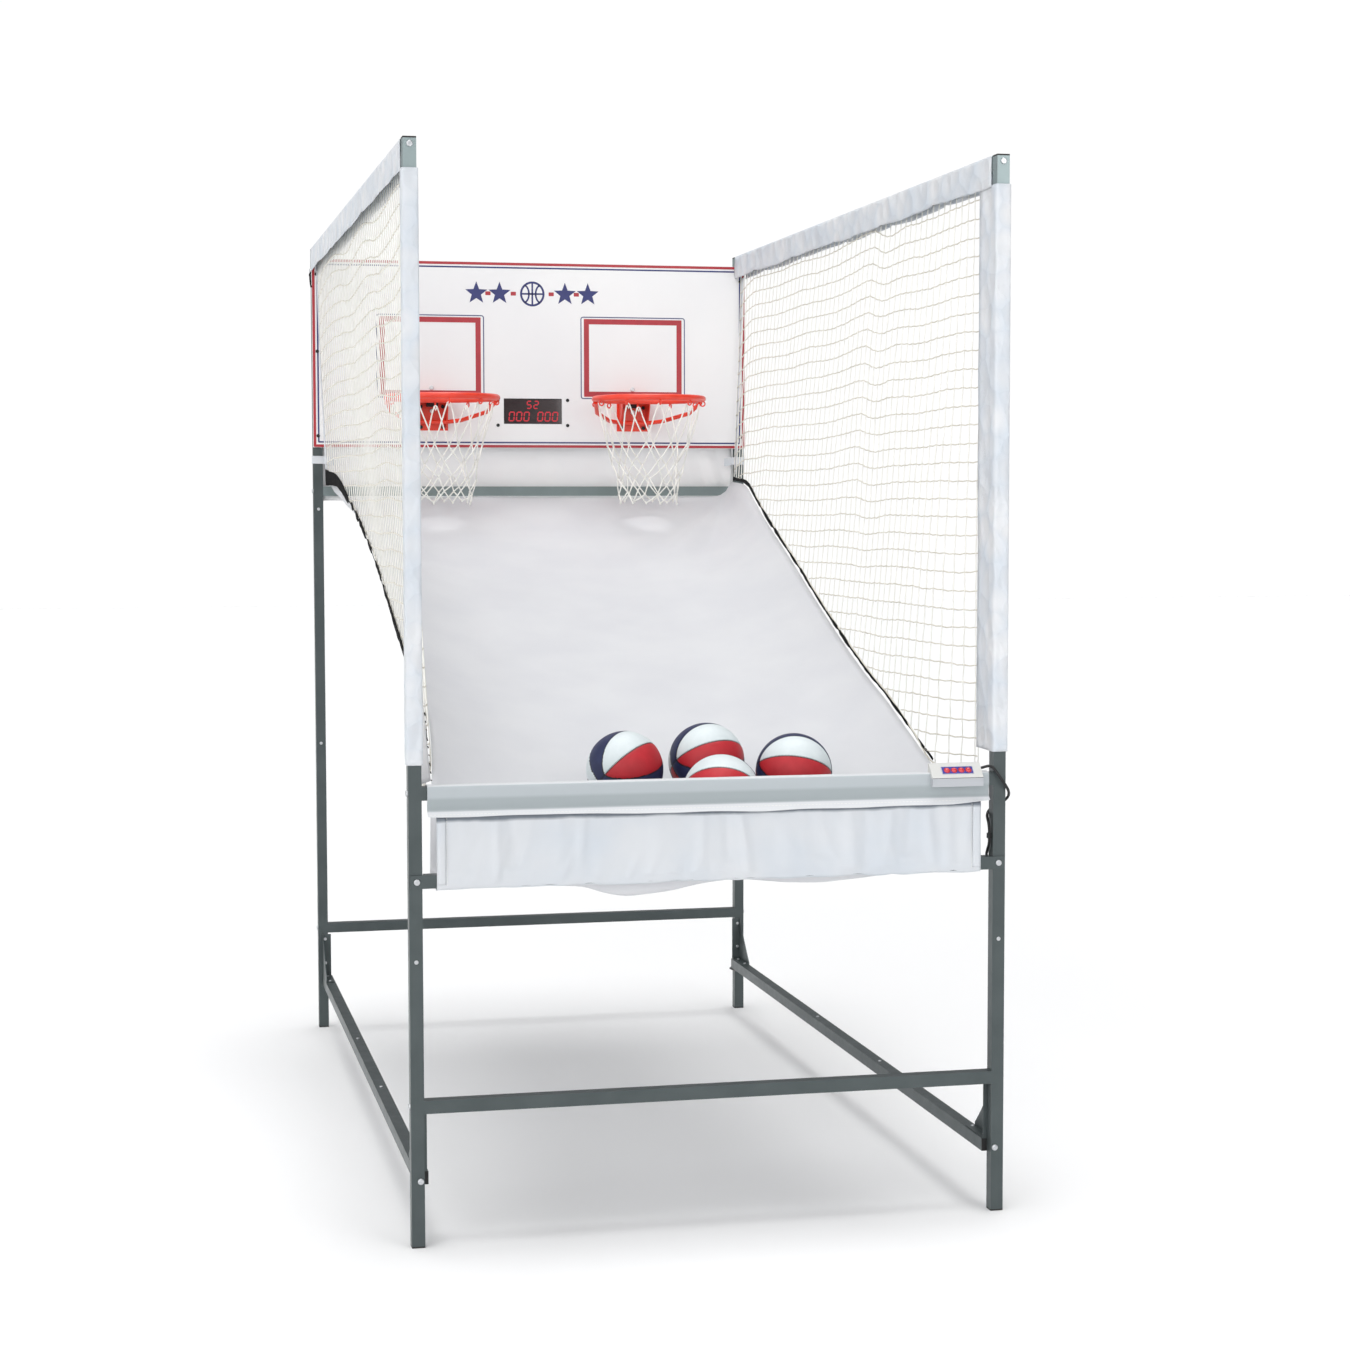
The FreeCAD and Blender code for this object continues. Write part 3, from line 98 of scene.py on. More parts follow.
class Look:
    """A Principled material with helpers for procedural colour and bump."""

    def __init__(self, name, colour, roughness, sockets=None):
        self.material = bpy.data.materials.new(name)
        self.material.use_nodes = True
        self.tree = self.material.node_tree
        self.shader = self.tree.nodes["Principled BSDF"]
        self.shader.inputs["Base Color"].default_value = colour
        self.shader.inputs["Roughness"].default_value = roughness
        for key, value in (sockets or {}).items():
            self.shader.inputs[key].default_value = value
        self.colour = colour
        self.place = self.node("ShaderNodeTexCoord").outputs["Object"]

    def node(self, kind, **settings):
        made = self.tree.nodes.new(kind)
        for key, value in settings.items():
            if key in made.inputs:
                made.inputs[key].default_value = value
            else:
                setattr(made, key, value)
        return made

    def link(self, start, end):
        self.tree.links.new(start, end)

    def math(self, operation, first, second=None):
        made = self.node("ShaderNodeMath", operation=operation)
        for socket, value in zip(made.inputs, (first, second)):
            if isinstance(value, (int, float)):
                socket.default_value = value
            elif value is not None:
                self.link(value, socket)
        return made.outputs[0]

    def noise(self, scale, detail=3.0, stretch=(1, 1, 1)):
        made = self.node("ShaderNodeTexNoise", Scale=scale, Detail=detail)
        mapping = self.node("ShaderNodeMapping", Scale=stretch)
        self.link(self.place, mapping.inputs["Vector"])
        self.link(mapping.outputs["Vector"], made.inputs["Vector"])
        return made.outputs["Fac"]

    def cells(self, scale):
        made = self.node("ShaderNodeTexVoronoi", Scale=scale)
        self.link(self.place, made.inputs["Vector"])
        return made.outputs["Distance"]

    def pattern(self, kind):
        """Noise from its scale or its settings, or cells."""
        if isinstance(kind, (int, float)):
            return self.noise(kind)
        return self.cells(kind[1]) if kind[0] == "cells" else self.noise(*kind)

    def axes(self):
        made = self.node("ShaderNodeSeparateXYZ")
        self.link(self.place, made.inputs[0])
        return made.outputs

    def weave(self, pitch):
        """Over and under of a plain weave, with the threads along x and along y + z."""
        x, y, z = self.axes()
        turn = 2 * math.pi / pitch
        across = self.math("SINE", self.math("MULTIPLY", x, turn))
        down = self.math("SINE", self.math("MULTIPLY", self.math("ADD", y, z), turn))
        return self.math("MULTIPLY", across, down)

    def span(self, factor, low, high, start=0.0, end=1.0):
        """A value's way from low to high, as a number from start to end."""
        ramp = self.node("ShaderNodeMapRange")
        limits = {"From Min": low, "From Max": high, "To Min": start, "To Max": end}
        for name, value in limits.items():
            ramp.inputs[name].default_value = value
        self.link(factor, ramp.inputs["Value"])
        return ramp.outputs["Result"]

    def height(self):
        """The height above the floor."""
        return self.axes()[2]

    def tint(self, factor, other, low=0.35, high=0.65):
        """The base colour so far drifts to another, by a value."""
        mix = self.node("ShaderNodeMix", data_type="RGBA")
        first, second = [s for s in mix.inputs if s.type == "RGBA"]
        first.default_value, second.default_value = self.colour, other
        base = self.shader.inputs["Base Color"]
        if base.is_linked:
            self.link(base.links[0].from_socket, first)
        self.link(self.span(factor, low, high), mix.inputs["Factor"])
        self.link([s for s in mix.outputs if s.type == "RGBA"][0], base)

    def rough(self, factor, low, high):
        self.link(self.span(factor, 0, 1, low, high), self.shader.inputs["Roughness"])

    def bump(self, height, distance, strength):
        """Relief on top of the relief so far."""
        made = self.node("ShaderNodeBump", Strength=strength, Distance=distance)
        self.link(height, made.inputs["Height"])
        normal = self.shader.inputs["Normal"]
        if normal.is_linked:
            self.link(normal.links[0].from_socket, made.inputs["Normal"])
        self.link(made.outputs["Normal"], normal)


def fabric_look(name, colour, darker):
    """Woven cloth. Its tint is patchy; the cover, the panel and the plain white cloth also carry
    painted shade of their own.
    """
    look = Look(name, colour, 0.72, {"Sheen Weight": 0.12, "Sheen Roughness": 0.4})
    if name == "cover_fabric":      # the front is darker than the top and flap: partly steel showing through, partly painted shade
        above = look.span(look.height(), 0.8195, 0.8235)
        # painted shade: the front from 0.82 to 0.867 m takes the darker colour, and the band from
        # 0.82 to 0.845 m, which recedes under the bar, takes a darker one still
        for start, end, shade in ((0.8665, 0.8685, darker), (0.842, 0.848, srgb(160, 168, 171))):
            below = look.span(look.height(), start, end, 1.0, 0.0)
            look.tint(look.math("MULTIPLY", above, below), shade, 0.0, 1.0)
    else:
        look.tint(look.noise(7.0, 4.0), darker)
    if name == "panel_fabric":      # in the shade of the flap
        edge = look.math("ADD", look.height(), look.math("MULTIPLY", look.noise(14.0), 0.010))
        look.tint(edge, srgb(120, 127, 136), 0.804, 0.810)
    if name == "white_fabric":      # painted shade in the creases between its crumples, on the same cells as its crumpled relief
        crumple = look.cells(21.0)
        look.tint(crumple, srgb(205, 212, 220), 0.4, 0.9)
        look.bump(crumple, 0.02, 0.6)
    look.bump(look.weave(0.0011), 0.0002, 0.35)
    look.bump(look.noise(60.0, 5.0), 0.0008, 0.12)
    return look


# Each look: name, colour, roughness, tint (pattern, other colour), roughness (pattern, ends),
# relief (pattern, distance, strength), other sockets. A pattern is a noise's scale, or its
# settings, or cells with their scale.
LOOK_TABLE = (
    ("steel_tube", (80, 88, 89), 0.36, ((14, 4), (74, 82, 83)), ((40, 4), 0.3, 0.45),
     ((1400, 2), 0.00006, 0.5), {"Metallic": 0.45}),
    # painted light: a lighter copy of the steel for the rear rail only, standing in for the light
    # that falls on it
    ("painted_lit_rail_steel", (122, 134, 134), 0.36, ((14, 4), (114, 126, 126)), None,
     ((1400, 2), 0.00006, 0.5), {"Metallic": 0.3}),
    ("zinc_fasteners", (205, 207, 210), 0.28, None, (900, 0.2, 0.42),
     (2200, 0.00003, 0.4), {"Metallic": 1.0}),
    ("black_plastic", (22, 22, 23), 0.55, None, (120, 0.49, 0.65),
     (("cells", 1500), 0.00005, 0.4), {}),
    ("black_fasteners", (18, 18, 19), 0.38, None, (120, 0.32, 0.48),
     (("cells", 1500), 0.00005, 0.4), {}),
    ("net_cord", (243, 242, 237), 0.85, (30, (235, 234, 227)), None,
     ((1500, 2, (1, 1, 0.35)), 0.0004, 0.6), {"Sheen Weight": 0.2}),
    ("net_weft", (219, 215, 203), 0.85, (30, (209, 204, 190)), None,
     ((1500, 2, (1, 1, 0.35)), 0.0004, 0.6), {"Sheen Weight": 0.2}),
    ("black_band", (12, 12, 13), 0.95, (300, (24, 23, 25)), None,
     (("cells", 1100), 0.0006, 0.8), {"Specular IOR Level": 0.2}),
    ("printed_board", (240, 240, 240), 0.3, (3, (236, 236, 237)), (25, 0.26, 0.36),
     (500, 0.00004, 0.3), {}),
    ("display_lens", (34, 8, 12), 0.12, None, (60, 0.08, 0.2),
     (900, 0.00002, 0.3), {"Coat Weight": 0.6}),
    ("circuit_board", (24, 84, 48), 0.4, (("cells", 300), (16, 60, 36)), None,
     (("cells", 400), 0.0002, 0.5), {}),
    ("hoop_paint", (238, 62, 34), 0.32, (30, (228, 54, 30)), (80, 0.26, 0.42),
     (700, 0.00012, 0.4), {"Coat Weight": 0.25}),
    ("control_box", (207, 207, 204), 0.48, (20, (202, 202, 199)), None,
     (("cells", 1800), 0.00006, 0.45), {}),
    ("case_seam", (60, 62, 66), 0.7, None, None, (900, 0.00003, 0.3), {}),
    ("button_label", (48, 46, 148), 0.4, (90, (43, 41, 138)), None, (900, 0.00003, 0.3), {}),
    ("red_button", (208, 38, 50), 0.2, (200, (198, 32, 44)), None,
     (600, 0.00003, 0.3), {"Coat Weight": 0.8}),
    ("cable_jacket", (20, 20, 22), 0.45, None, (200, 0.38, 0.56), (1200, 0.00008, 0.4), {}),
    ("lit_segment", (120, 12, 26), 0.4, None, None, (900, 0.00002, 0.3),
     {"Emission Color": srgb(190, 20, 40), "Emission Strength": 0.9}),
) + tuple(
    (name, colour, 0.5, (40, darker), None, (("cells", 720), 0.0005, relief), {})
    for name, colour, darker, relief in (("ball_white", (216, 224, 226), (208, 217, 219), 0.55),
                                         ("ball_red", (190, 30, 42), (180, 26, 38), 0.55),
                                         ("ball_navy", (33, 42, 82), (28, 36, 74), 0.55),
                                         ("ball_seam", (20, 20, 26), (15, 15, 20), 0.1))
) + tuple(
    (name, colour, 0.34, (45, [int(c * 0.95) for c in colour]), None, (700, 0.00003, 0.3), {})
    for name, colour in (("print_red", (178, 46, 56)), ("print_navy", (44, 50, 112)),
                         ("print_white", (236, 236, 236)))
)
FABRICS = {"white_fabric": ((224, 225, 227), (208, 213, 219)),
           "ramp_fabric": ((211, 212, 215), (206, 207, 211)),
           "panel_fabric": ((208, 211, 215), (200, 206, 213)),
           # the cover's darker colour is for its front band: steel showing through the cloth, and
           # painted shade
           "cover_fabric": ((214, 216, 219), (176, 183, 187)),
           # painted light: the skirt's cloth, also used for the left corner strip, is a brighter
           # copy of the white cloth, which makes up for the board's shadow on it
           "skirt_fabric": ((248, 248, 248), (244, 244, 245))}


def make_materials():
    """Every material by the name of its look."""
    looks = {}
    for name, colour, roughness, tint, rough, bump, sockets in LOOK_TABLE:
        look = looks[name] = Look(name, srgb(*colour), roughness, sockets)
        if tint:
            look.tint(look.pattern(tint[0]), srgb(*tint[1]))
        if rough:
            look.rough(look.pattern(rough[0]), *rough[1:])
        look.bump(look.pattern(bump[0]), *bump[1:])
    steel, case = looks["steel_tube"], looks["control_box"]
    steel.tint(steel.height(), srgb(146, 160, 161), 1.90, 1.95)     # lit from above
    case.tint(case.height(), srgb(178, 181, 186), 0.8598, 0.8594)   # painted shade: the upright front is darker than the lid
    for name, (colour, darker) in FABRICS.items():
        looks[name] = fabric_look(name, srgb(*colour), srgb(*darker))
    looks["ball_skin"] = looks["ball_red"]
    return {name: look.material for name, look in looks.items()}


LOOKS = make_materials()
SLOT_OF = {part["node"]: part["material_slot"] for part in frame["record"]["subparts"]}
for name, part in NODES.items():
    part.data.materials.clear()
    # the rear rail takes the lighter copy of the steel, which is painted light
    part.data.materials.append(LOOKS["painted_lit_rail_steel" if name == "rear_ramp_rail" else SLOT_OF[name]])


# ---- mesh helpers

def mesh_piece(name, points, faces, look, smooth=True):
    """A mesh that rides on the frame's body."""
    data = bpy.data.meshes.new(name)
    data.from_pydata(points, [], faces, shade_flat=not smooth)
    data.materials.append(LOOKS[look])
    piece = put(name, data)
    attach(piece, "frame")
    return piece


def cloth(name, rows, look="white_fabric", thickness=0.9, smooth_levels=0):
    """A sheet of cloth through rows of points, with its thickness and a fold at its edges."""
    wide = len(rows[0])
    points = [p for row in rows for p in row]
    faces = [(a, a + 1, a + wide + 1, a + wide)
             for r in range(len(rows) - 1) for a in range(r * wide, r * wide + wide - 1)]
    piece = mesh_piece(name, points, faces, look)
    solid = piece.modifiers.new("thickness", "SOLIDIFY")
    solid.thickness, solid.offset = thickness * 0.001, 0
    if smooth_levels:
        piece.modifiers.new("smooth", "SUBSURF").levels = smooth_levels
        piece.modifiers["smooth"].render_levels = smooth_levels
    return piece


def cords(name, lines, radius, look="net_cord", sides=5):
    """Round cords along lines of points, as one mesh. A line may carry its own radius."""
    points, faces = [], []
    for line in lines:
        thick = radius
        if isinstance(line, tuple):
            line, thick = line
        for index, point in enumerate(line):
            way = line[min(index + 1, len(line) - 1)] - line[max(index - 1, 0)]
            way.normalize()
            side = way.cross(Vector((0.31, 0.83, 0.47))).normalized()
            other = way.cross(side)
            for step in range(sides):
                turn = 2 * math.pi * step / sides
                points.append(point + (side * math.cos(turn) + other * math.sin(turn)) * thick)
        first = len(points) - len(line) * sides
        for index in range(len(line) - 1):
            low = first + index * sides
            for step in range(sides):
                after = (step + 1) % sides
                faces.append((low + step, low + after, low + sides + after, low + sides + step))
        faces.append(tuple(first + step for step in reversed(range(sides))))
        faces.append(tuple(len(points) - sides + step for step in range(sides)))
    return mesh_piece(name, points, faces, look)


def smooth_table(table, where):
    """Smooth value at where, from pairs sorted by their first number."""
    last = len(table) - 1
    if where <= table[0][0]:
        return table[0][1]
    if where >= table[last][0]:
        return table[last][1]
    index = max(i for i in range(last) if table[i][0] <= where)
    (x0, y0), (x1, y1) = table[index], table[index + 1]

    def rise(i):
        return (table[i + 1][1] - table[i][1]) / (table[i + 1][0] - table[i][0])

    def slope(i):
        if i in (0, last):
            return rise(min(i, last - 1))
        before, after = rise(i - 1), rise(i)
        return 0.0 if before * after <= 0 else 2 * before * after / (before + after)

    gap = x1 - x0
    t = (where - x0) / gap
    return (y0 * (2 * t ** 3 - 3 * t ** 2 + 1) + slope(index) * gap * (t ** 3 - 2 * t ** 2 + t)
            + y1 * (3 * t ** 2 - 2 * t ** 3) + slope(index + 1) * gap * (t ** 3 - t ** 2))


def wander(x, y, z, scale, seed=0):
    """Smooth noise from -1 to 1 over a length in millimetres."""
    return noise.noise(Vector((x / scale + seed * 17.3, y / scale - seed * 9.1, z / scale)))


def crease(x, y, size, seed=0):
    """Sharp creases between soft swells, from about -0.5 to 0.5."""
    return 0.5 - 2 * abs(wander(x, y, 0, size, seed))


# ---- control cable

def make_control_cable():
    """The free loop beside the right front post, from the control box to the first clip."""
    route = ((531, 6, 874.5), (541, 6.2, 877.5), (550, 2.5, 880), (555, -5, 877), (559, -10, 870),
             (569, -14, 855), (579, -13, 841), (588, -5, 829), (592, 8, 819),
             (590, 21, 810), (582, 31, 802), (570, 35, 796), (559, 33, 788), (553, 24, 779),
             (553.4, 14.5, 767), (554.4, 12.5, 753), (554.4, 12.5, 741))
    data = bpy.data.curves.new("control_cable_loop", "CURVE")
    data.dimensions = "3D"
    spline = data.splines.new("NURBS")
    spline.points.add(len(route) - 1)
    for point, place in zip(spline.points, route):
        point.co = (*at(*place), 1)
    spline.order_u, spline.resolution_u, spline.use_endpoint_u = 3, 12, True
    data.bevel_depth, data.bevel_resolution = 0.0055 / 2, 4
    data.use_fill_caps = True
    data.materials.append(LOOKS["cable_jacket"])
    cable = put("control_cable_loop", data)
    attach(cable, "frame")
    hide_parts("control_cable")


make_control_cable()


# ---- ball ramp

# the ramp's edge: half width, distance behind the front, height
EDGE = ((545, 2066, 1450), (533, 1880, 1441), (520, 1710, 1394), (510, 1575, 1351),
        (500, 1300, 1260), (495, 1060, 1170), (492, 815, 1080), (490, 620, 1015),
        (490, 441, 960), (500, 306, 899), (512, 215, 850), (524, 140, 790),
        (532, 85, 735), (537, 48, 702), (539, 30, 696))
REACH = [(y, x) for x, y, z in reversed(EDGE)]
RISE = [(y, z) for x, y, z in reversed(EDGE)]
BELLY = ((30, 664), (48, 650), (66, 690), (85, 735), (110, 747), (140, 752), (180, 766),
         (215, 777), (306, 812), (1100, 1086), (2066, 1408))
# height of the cloth just behind the lower bar, where it hangs in two shallow lobes
LOBES = ((-537, 700), (-480, 690), (-400, 678), (-300, 671), (-255, 667), (-205, 652),
         (-160, 645), (-90, 651), (-5, 667), (50, 671), (105, 667), (160, 661), (215, 659),
         (325, 667), (400, 676), (480, 688), (537, 700))


def fan_folds(x, y, corner_x, strength, seed):
    """Soft folds that fan out from a corner of the ramp, where it is pulled."""
    dx, dy = (corner_x - x) * (1 if corner_x > 0 else -1), 2075 - y
    far = math.hypot(dx, dy)
    if dx < -40 or far < 1:
        return 0.0
    turn = math.atan2(dx, dy)
    ripple = math.sin(turn * 15 + seed) + 0.6 * math.sin(turn * 26 + seed * 2.3)
    fade = math.exp(-((turn - 0.42) / 0.4) ** 2)
    return strength * ripple * fade * min(far / 160, 1) * math.exp(-(far / 620) ** 2)


def ramp_point(across, y):
    """A point on the ramp, across from -1 to 1."""
    reach, rise = smooth_table(REACH, y), smooth_table(RISE, y)
    low = smooth_table(BELLY, y)
    x = across * reach
    z = low + (rise - low) * abs(across) ** (3 + 30 * max(0, (y - 1300) / 766) ** 2)
    inner = 1 - abs(across) ** 6
    if y < 95:
        share = 1 - (abs(y - 48) / (47 if y > 48 else 75)) ** 1.5
        z += (smooth_table(LOBES, x) + 2 * wander(x, 0, 0, 70, 3) - z) * max(0, share)
    if y < 30:
        z += (676 - z) * (30 - y) / 7
    loose = fan_folds(x, y, 530, 6.8, 0.6) + fan_folds(x, y, -530, 4.4, 2.1)
    loose += 3.0 * wander(x, y * 0.5, 0, 260, 1) + 0.8 * wander(x * 0.4, y, 0, 60, 2)
    if 95 < y < 300:
        loose += 2.0 * wander(x * 0.6, y * 1.7, 0, 70, 5)
    if 330 < y < 1150:          # a straight crease that slants from the left
        loose += 1.1 * math.exp(-((x + 505 - (1150 - y) * 0.34) / 7) ** 2)
    return at(x, y, z + loose * inner * min(1, max(0, y - 30) / 80))


def make_ramp():
    """The sloping cloth that brings the balls back."""
    stops = [23, 25, 27.5, 30, 36, 42, 48, 54, 60, 66, 72, 78, 85, 92, 100, 110, 120, 130, 140,
             152, 165, 180, 195, 212, 230, 250, 272]
    while stops[-1] < 2040:
        stops.append(stops[-1] + 19)
    rows = [[ramp_point(-1 + 2 * i / 72, y) for i in range(73)] for y in stops + [2066]]
    ramp = cloth("ramp_cloth", rows, "ramp_fabric")
    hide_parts("ball_ramp")


make_ramp()


# ---- side nets

MESH = 36.5                    # side of a net mesh
NET_TOP, NET_RAIL = 2020, 2030  # heights of the first knots and of the rail that holds them
NET_FOOT = ([(103, 853), (190, 850), (245, 866), (306, 907)]
            + [(min(y, 2058), z + 11) for x, y, z in reversed(EDGE[:9])])
NET_REACH = ([(124, 562), (200, 530), (262, 508), (306, 503)]
             + [(min(y, 2058), x + 5) for x, y, z in reversed(EDGE[:9])])


def net_point(sign, y, z):
    """A point of a side net, which leans out from the ramp's edge to the rail above."""
    foot, reach = smooth_table(NET_FOOT, y), smooth_table(NET_REACH, y)
    if sign < 0:                # this net's front corner is pulled in to the ramp
        reach -= 24 * max(0, 1 - (y - 103) / 110)
    up = (z - foot) / (NET_RAIL - foot)
    belly = 5 * wander(y, z, 0, 420, 4 + sign) * math.sin(math.pi * min(max(up, 0), 1))
    return at(sign * (reach + (RAIL_X - reach) * up + belly), y, z)


def net_lift(sign, y, z):
    """How far the mesh at a place hangs above or below its even height."""
    foot = smooth_table(NET_FOOT, y)
    up = min(max((z - foot) / (NET_RAIL - foot), 0), 1)
    if sign > 0:
        ahead = (y - 826) / (150 if y > 826 else 55)
        lift = 17 * up * math.exp(-ahead * ahead) - 9 * up * math.exp(-((y - 700) / 70) ** 2)
        lift -= 26 * max(0, (y - 1890) / 170) ** 1.6
    else:
        lift = 9 * up * math.sin(y / 118.0) - 12 * max(0, (y - 1930) / 130)
    return lift + 6 * wander(y, z, 0, 240, 8 + sign) + 2.2 * wander(y, z, 0, 60, 3 + sign)


def make_side_net(side, sign):
    """The upright cords, the cross cords with the edge at the foot, and the tape behind."""
    columns = [103] + [124 + MESH * i for i in range(int((2052 - 124) / MESH) + 1)] + [2056]
    heights = [NET_TOP - MESH * i for i in range(34)]
    lines = []
    for column in columns:
        foot = smooth_table(NET_FOOT, column) + 1.5
        line = []
        for index, height in enumerate(heights):
            z = height + (net_lift(sign, column, height) if index else 0)
            if z < foot:
                break
            slip = 1.1 * (1 if (index + int(column / MESH)) % 2 else -1) if column < 2050 else 0
            line.append(net_point(sign, column + slip + 2.5 * wander(column, z, 0, 130, 6), z))
        line.append(net_point(sign, column, foot))
        lines.append(line)
    net = cords(f"{side}_net_mesh", lines, 0.0014)
    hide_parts(f"{side}_side_net")

    lines = []
    for height in heights[1:]:
        line = []
        for column in columns:
            z = height + net_lift(sign, column, height)
            if z >= smooth_table(NET_FOOT, column) + 1.5:
                line.append(net_point(sign, column, z))
                middle = column + MESH / 2
                if 120 < column < 2056 and z - 1.6 > smooth_table(NET_FOOT, middle) + 1.5:
                    low = height + net_lift(sign, middle, height) - 1.6
                    line.append(net_point(sign, middle, low))
            else:
                if len(line) > 1:
                    lines.append(line)
                line = []
        if len(line) > 1:
            lines.append(line)
    foot_stops = [103 + 16.3 * i for i in range(121)]
    lines.append(([net_point(sign, y, smooth_table(NET_FOOT, y)) for y in foot_stops], 0.0017))
    cords(f"{side}_net_cross_cords", lines, 0.0014, "net_weft")

    aside = Vector((sign * 0.0022, 0, 0))
    rows = [[net_point(sign, y, 1470 + 16 * i) + aside for y in (2036, 2044, 2052, 2058)]
            for i in range(34)]
    tape = cloth(f"{side}_net_tape", rows, thickness=1.0)


for side, sign in SIDES:
    make_side_net(side, sign)


# ---- sleeves

def make_top_sleeve(side, sign):
    """Cloth folded over a top rail, closed below in short lengths."""
    rows = []
    for index in range(151):
        y = 28.8 + (2067 - 28.8) * index / 150
        tab = (y * 0.0027) % 1.0
        sag = 4.5 * wander(y, 0, 0, 120, 2 + sign) + 3.0 * math.sin(tab * math.pi) - 1.5
        gap = 2.5 if tab < 0.035 else 0.0
        top = ((-14.2, 2054), (-12.4, 2056.8), (-8, 2057.4), (0, 2057.6), (8, 2057.4),
               (12.4, 2056.8), (14.2, 2054))
        falls = []
        for way, seed in ((-1, 9), (1, 7)):
            out = [2.2 * crease(y, z * 1.6, 58, seed + sign)
                   for z in (2004, 2014, 2026, 2038, 2049)]
            falls.append([(14.4 * way, 1999 - sag + gap), (15.1 * way + out[0], 2004 - sag),
                          (15.2 * way + out[1], 2014), (15.2 * way + out[2], 2026),
                          (15.1 * way + out[3], 2038), (14.9 * way + out[4] * 0.6, 2049)])
        profile = (*falls[0], *top, *reversed(falls[1]))
        rows.append([at(sign * RAIL_X + x, y, z) for x, z in profile])
    sleeve = cloth(f"{side}_top_sleeve_cloth", rows)
    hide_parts(f"{side}_top_sleeve")


def make_front_sleeve(side, sign):
    """Cloth round a front post, with its two edges sewn together behind as a hem."""
    count = 146
    rows = []
    for index in range(count + 1):
        z = 905.5 + (2000 - 905.5) * index / count
        loose = 2.0 + 2.6 * min(1, max(0, (1650 - z) / 250))
        front = []
        for x in (9, 4, -1, -6, -10):
            crumple = crease(x * 2.2, z + x, 44, 11 + sign) + 0.3 * wander(x, z, 5, 20, 12)
            front.append((x, -3.4 - max(loose * crumple, -0.8)))
        side_in = 1.6 * wander(4, z, 0, 75, 13 + sign)
        side_out = 1.6 * wander(9, z, 0, 75, 14 + sign)
        hem = 1.4 * wander(0, z, 0, 160, 15 + sign) - 11.5
        hem_end = 100 + 2.0 * wander(0, z, 0, 90, 16 + sign)
        end = 2 * (index == 0)
        profile = ((0.9 + hem, hem_end), (0.9 + hem, 84), (0.9 + hem, 66), (-10.6, 48),
                   (-10.6, 32), (-6, 27.8), (13, 27.4), (15.0, 25),
                   (15.2 + side_out, 16), (15.2 + side_out, 6),
                   (15.0, -1), (13.2, -3.2), *front, (-13.2, -3.2), (-15.0, -1),
                   (-15.2 - side_in, 6), (-15.2 - side_in, 16), (-15.0, 25), (-14.2, 27.4),
                   (-13.6, 28.4), (-12.4, 32), (-12.4, 48),
                   (-0.9 + hem, 66), (-0.9 + hem, 84), (-0.9 + hem, hem_end))
        rows.append([at(sign * (RAIL_X + x), y, z + end) for x, y in profile])
    sleeve = cloth(f"{side}_front_sleeve_cloth", rows, thickness=0.8)
    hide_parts(f"{side}_front_sleeve")


def make_left_corner():
    """The left net's front edge: a strip of cloth, pulled in to the ramp, that ties hold below."""
    rows, ties = [], []
    for step in range(40):
        z = 1180 - 8 * step
        pull = 27 * (step / 39) ** 1.1
        rows.append([at(-556 + pull * t + 0.5 * wander(z, 60 * t, 0, 60, 3), 33 + 60 * t, z)
                     for t in (0, 0.25, 0.5, 0.75, 1)])
        if step > 21 and step % 2:
            x = -555 + pull
            ties.append([at(x, 93, z + 2), at(x + 1.5, 93, z - 2 * (step % 3))])
    strip = cloth("left_corner_strip", rows, "skirt_fabric")
    knots = cords("left_corner_ties", ties, 0.0011, "black_band")


for side, sign in SIDES:
    make_top_sleeve(side, sign)
    make_front_sleeve(side, sign)
make_left_corner()


def make_elastic_tie():
    """The elastic that ties the left sleeve to its rear post."""
    loop = []
    for step in range(29):
        turn = 2 * math.pi * step / 28
        loop.append(at(15.81 * math.cos(turn) - RAIL_X, 2092 + 14.5 * math.sin(turn),
                       1990 + 5 * math.sin(turn * 2)))
    tail = [at(-585.5, 2084, 1990), at(-585.6, 2078, 1976), at(-585.2, 2070, 1964),
            at(-584, 2066, 1956)]
    cords("sleeve_tie", [loop, tail], 0.0022, "black_band", 7)


# ---- trough cloth

def cover_flare(x):
    """How far the cover's flap stands out in front."""
    return 7 + 3.2 * wander(x, 0, 0, 210, 1) + 1.6 * wander(x, 0, 0, 60, 2)


def make_bar_cover():
    """Cloth over the trough's top bar, with a flap that flares out in front."""
    rows = []
    for index in range(141):
        x = -548 + 1096 * index / 140
        end = max(0, abs(x) - 470) / 78
        flare = cover_flare(x)
        drop = 810 - 4 * math.exp(-((x - 60) / 300) ** 2) + 3.4 * wander(x, 0, 0, 120, 4)
        drop += 5 * end * (1 if x > 0 else 0.3)
        swell = 0.5 * wander(x, 0, 0, 45, 6)
        profile = ((26.4, 843), (26.6, 856), (26.2, 866), (24.6, 868.6), (18, 869 + swell),
                   (8, 869 + swell), (0, 868.8), (-2.0, 867.6), (-3.4, 863), (-4.0 + swell, 852),
                   (-3.6 + swell, 845), (-2.2, 839), (-0.6, 833), (0.2, 828), (-1.6, 824),
                   (-3 - flare * 0.3, 820), (-5 - flare * 0.6, 815), (-6.6 - flare, drop))
        rows.append([at(x, y, z) for y, z in profile])
    cover = cloth("bar_cover_cloth", rows, "cover_fabric", thickness=1.0, smooth_levels=1)
    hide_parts("trough_bar_cover")
    stitches = []
    for index in range(150):
        x = -544 + 1088 * index / 150
        y = -5.4 - cover_flare(x) * 0.6
        stitches.append([at(x, y, 815.4), at(x + 4.4, y, 815.4)])
    cords("cover_stitches", stitches, 0.00035, sides=4)


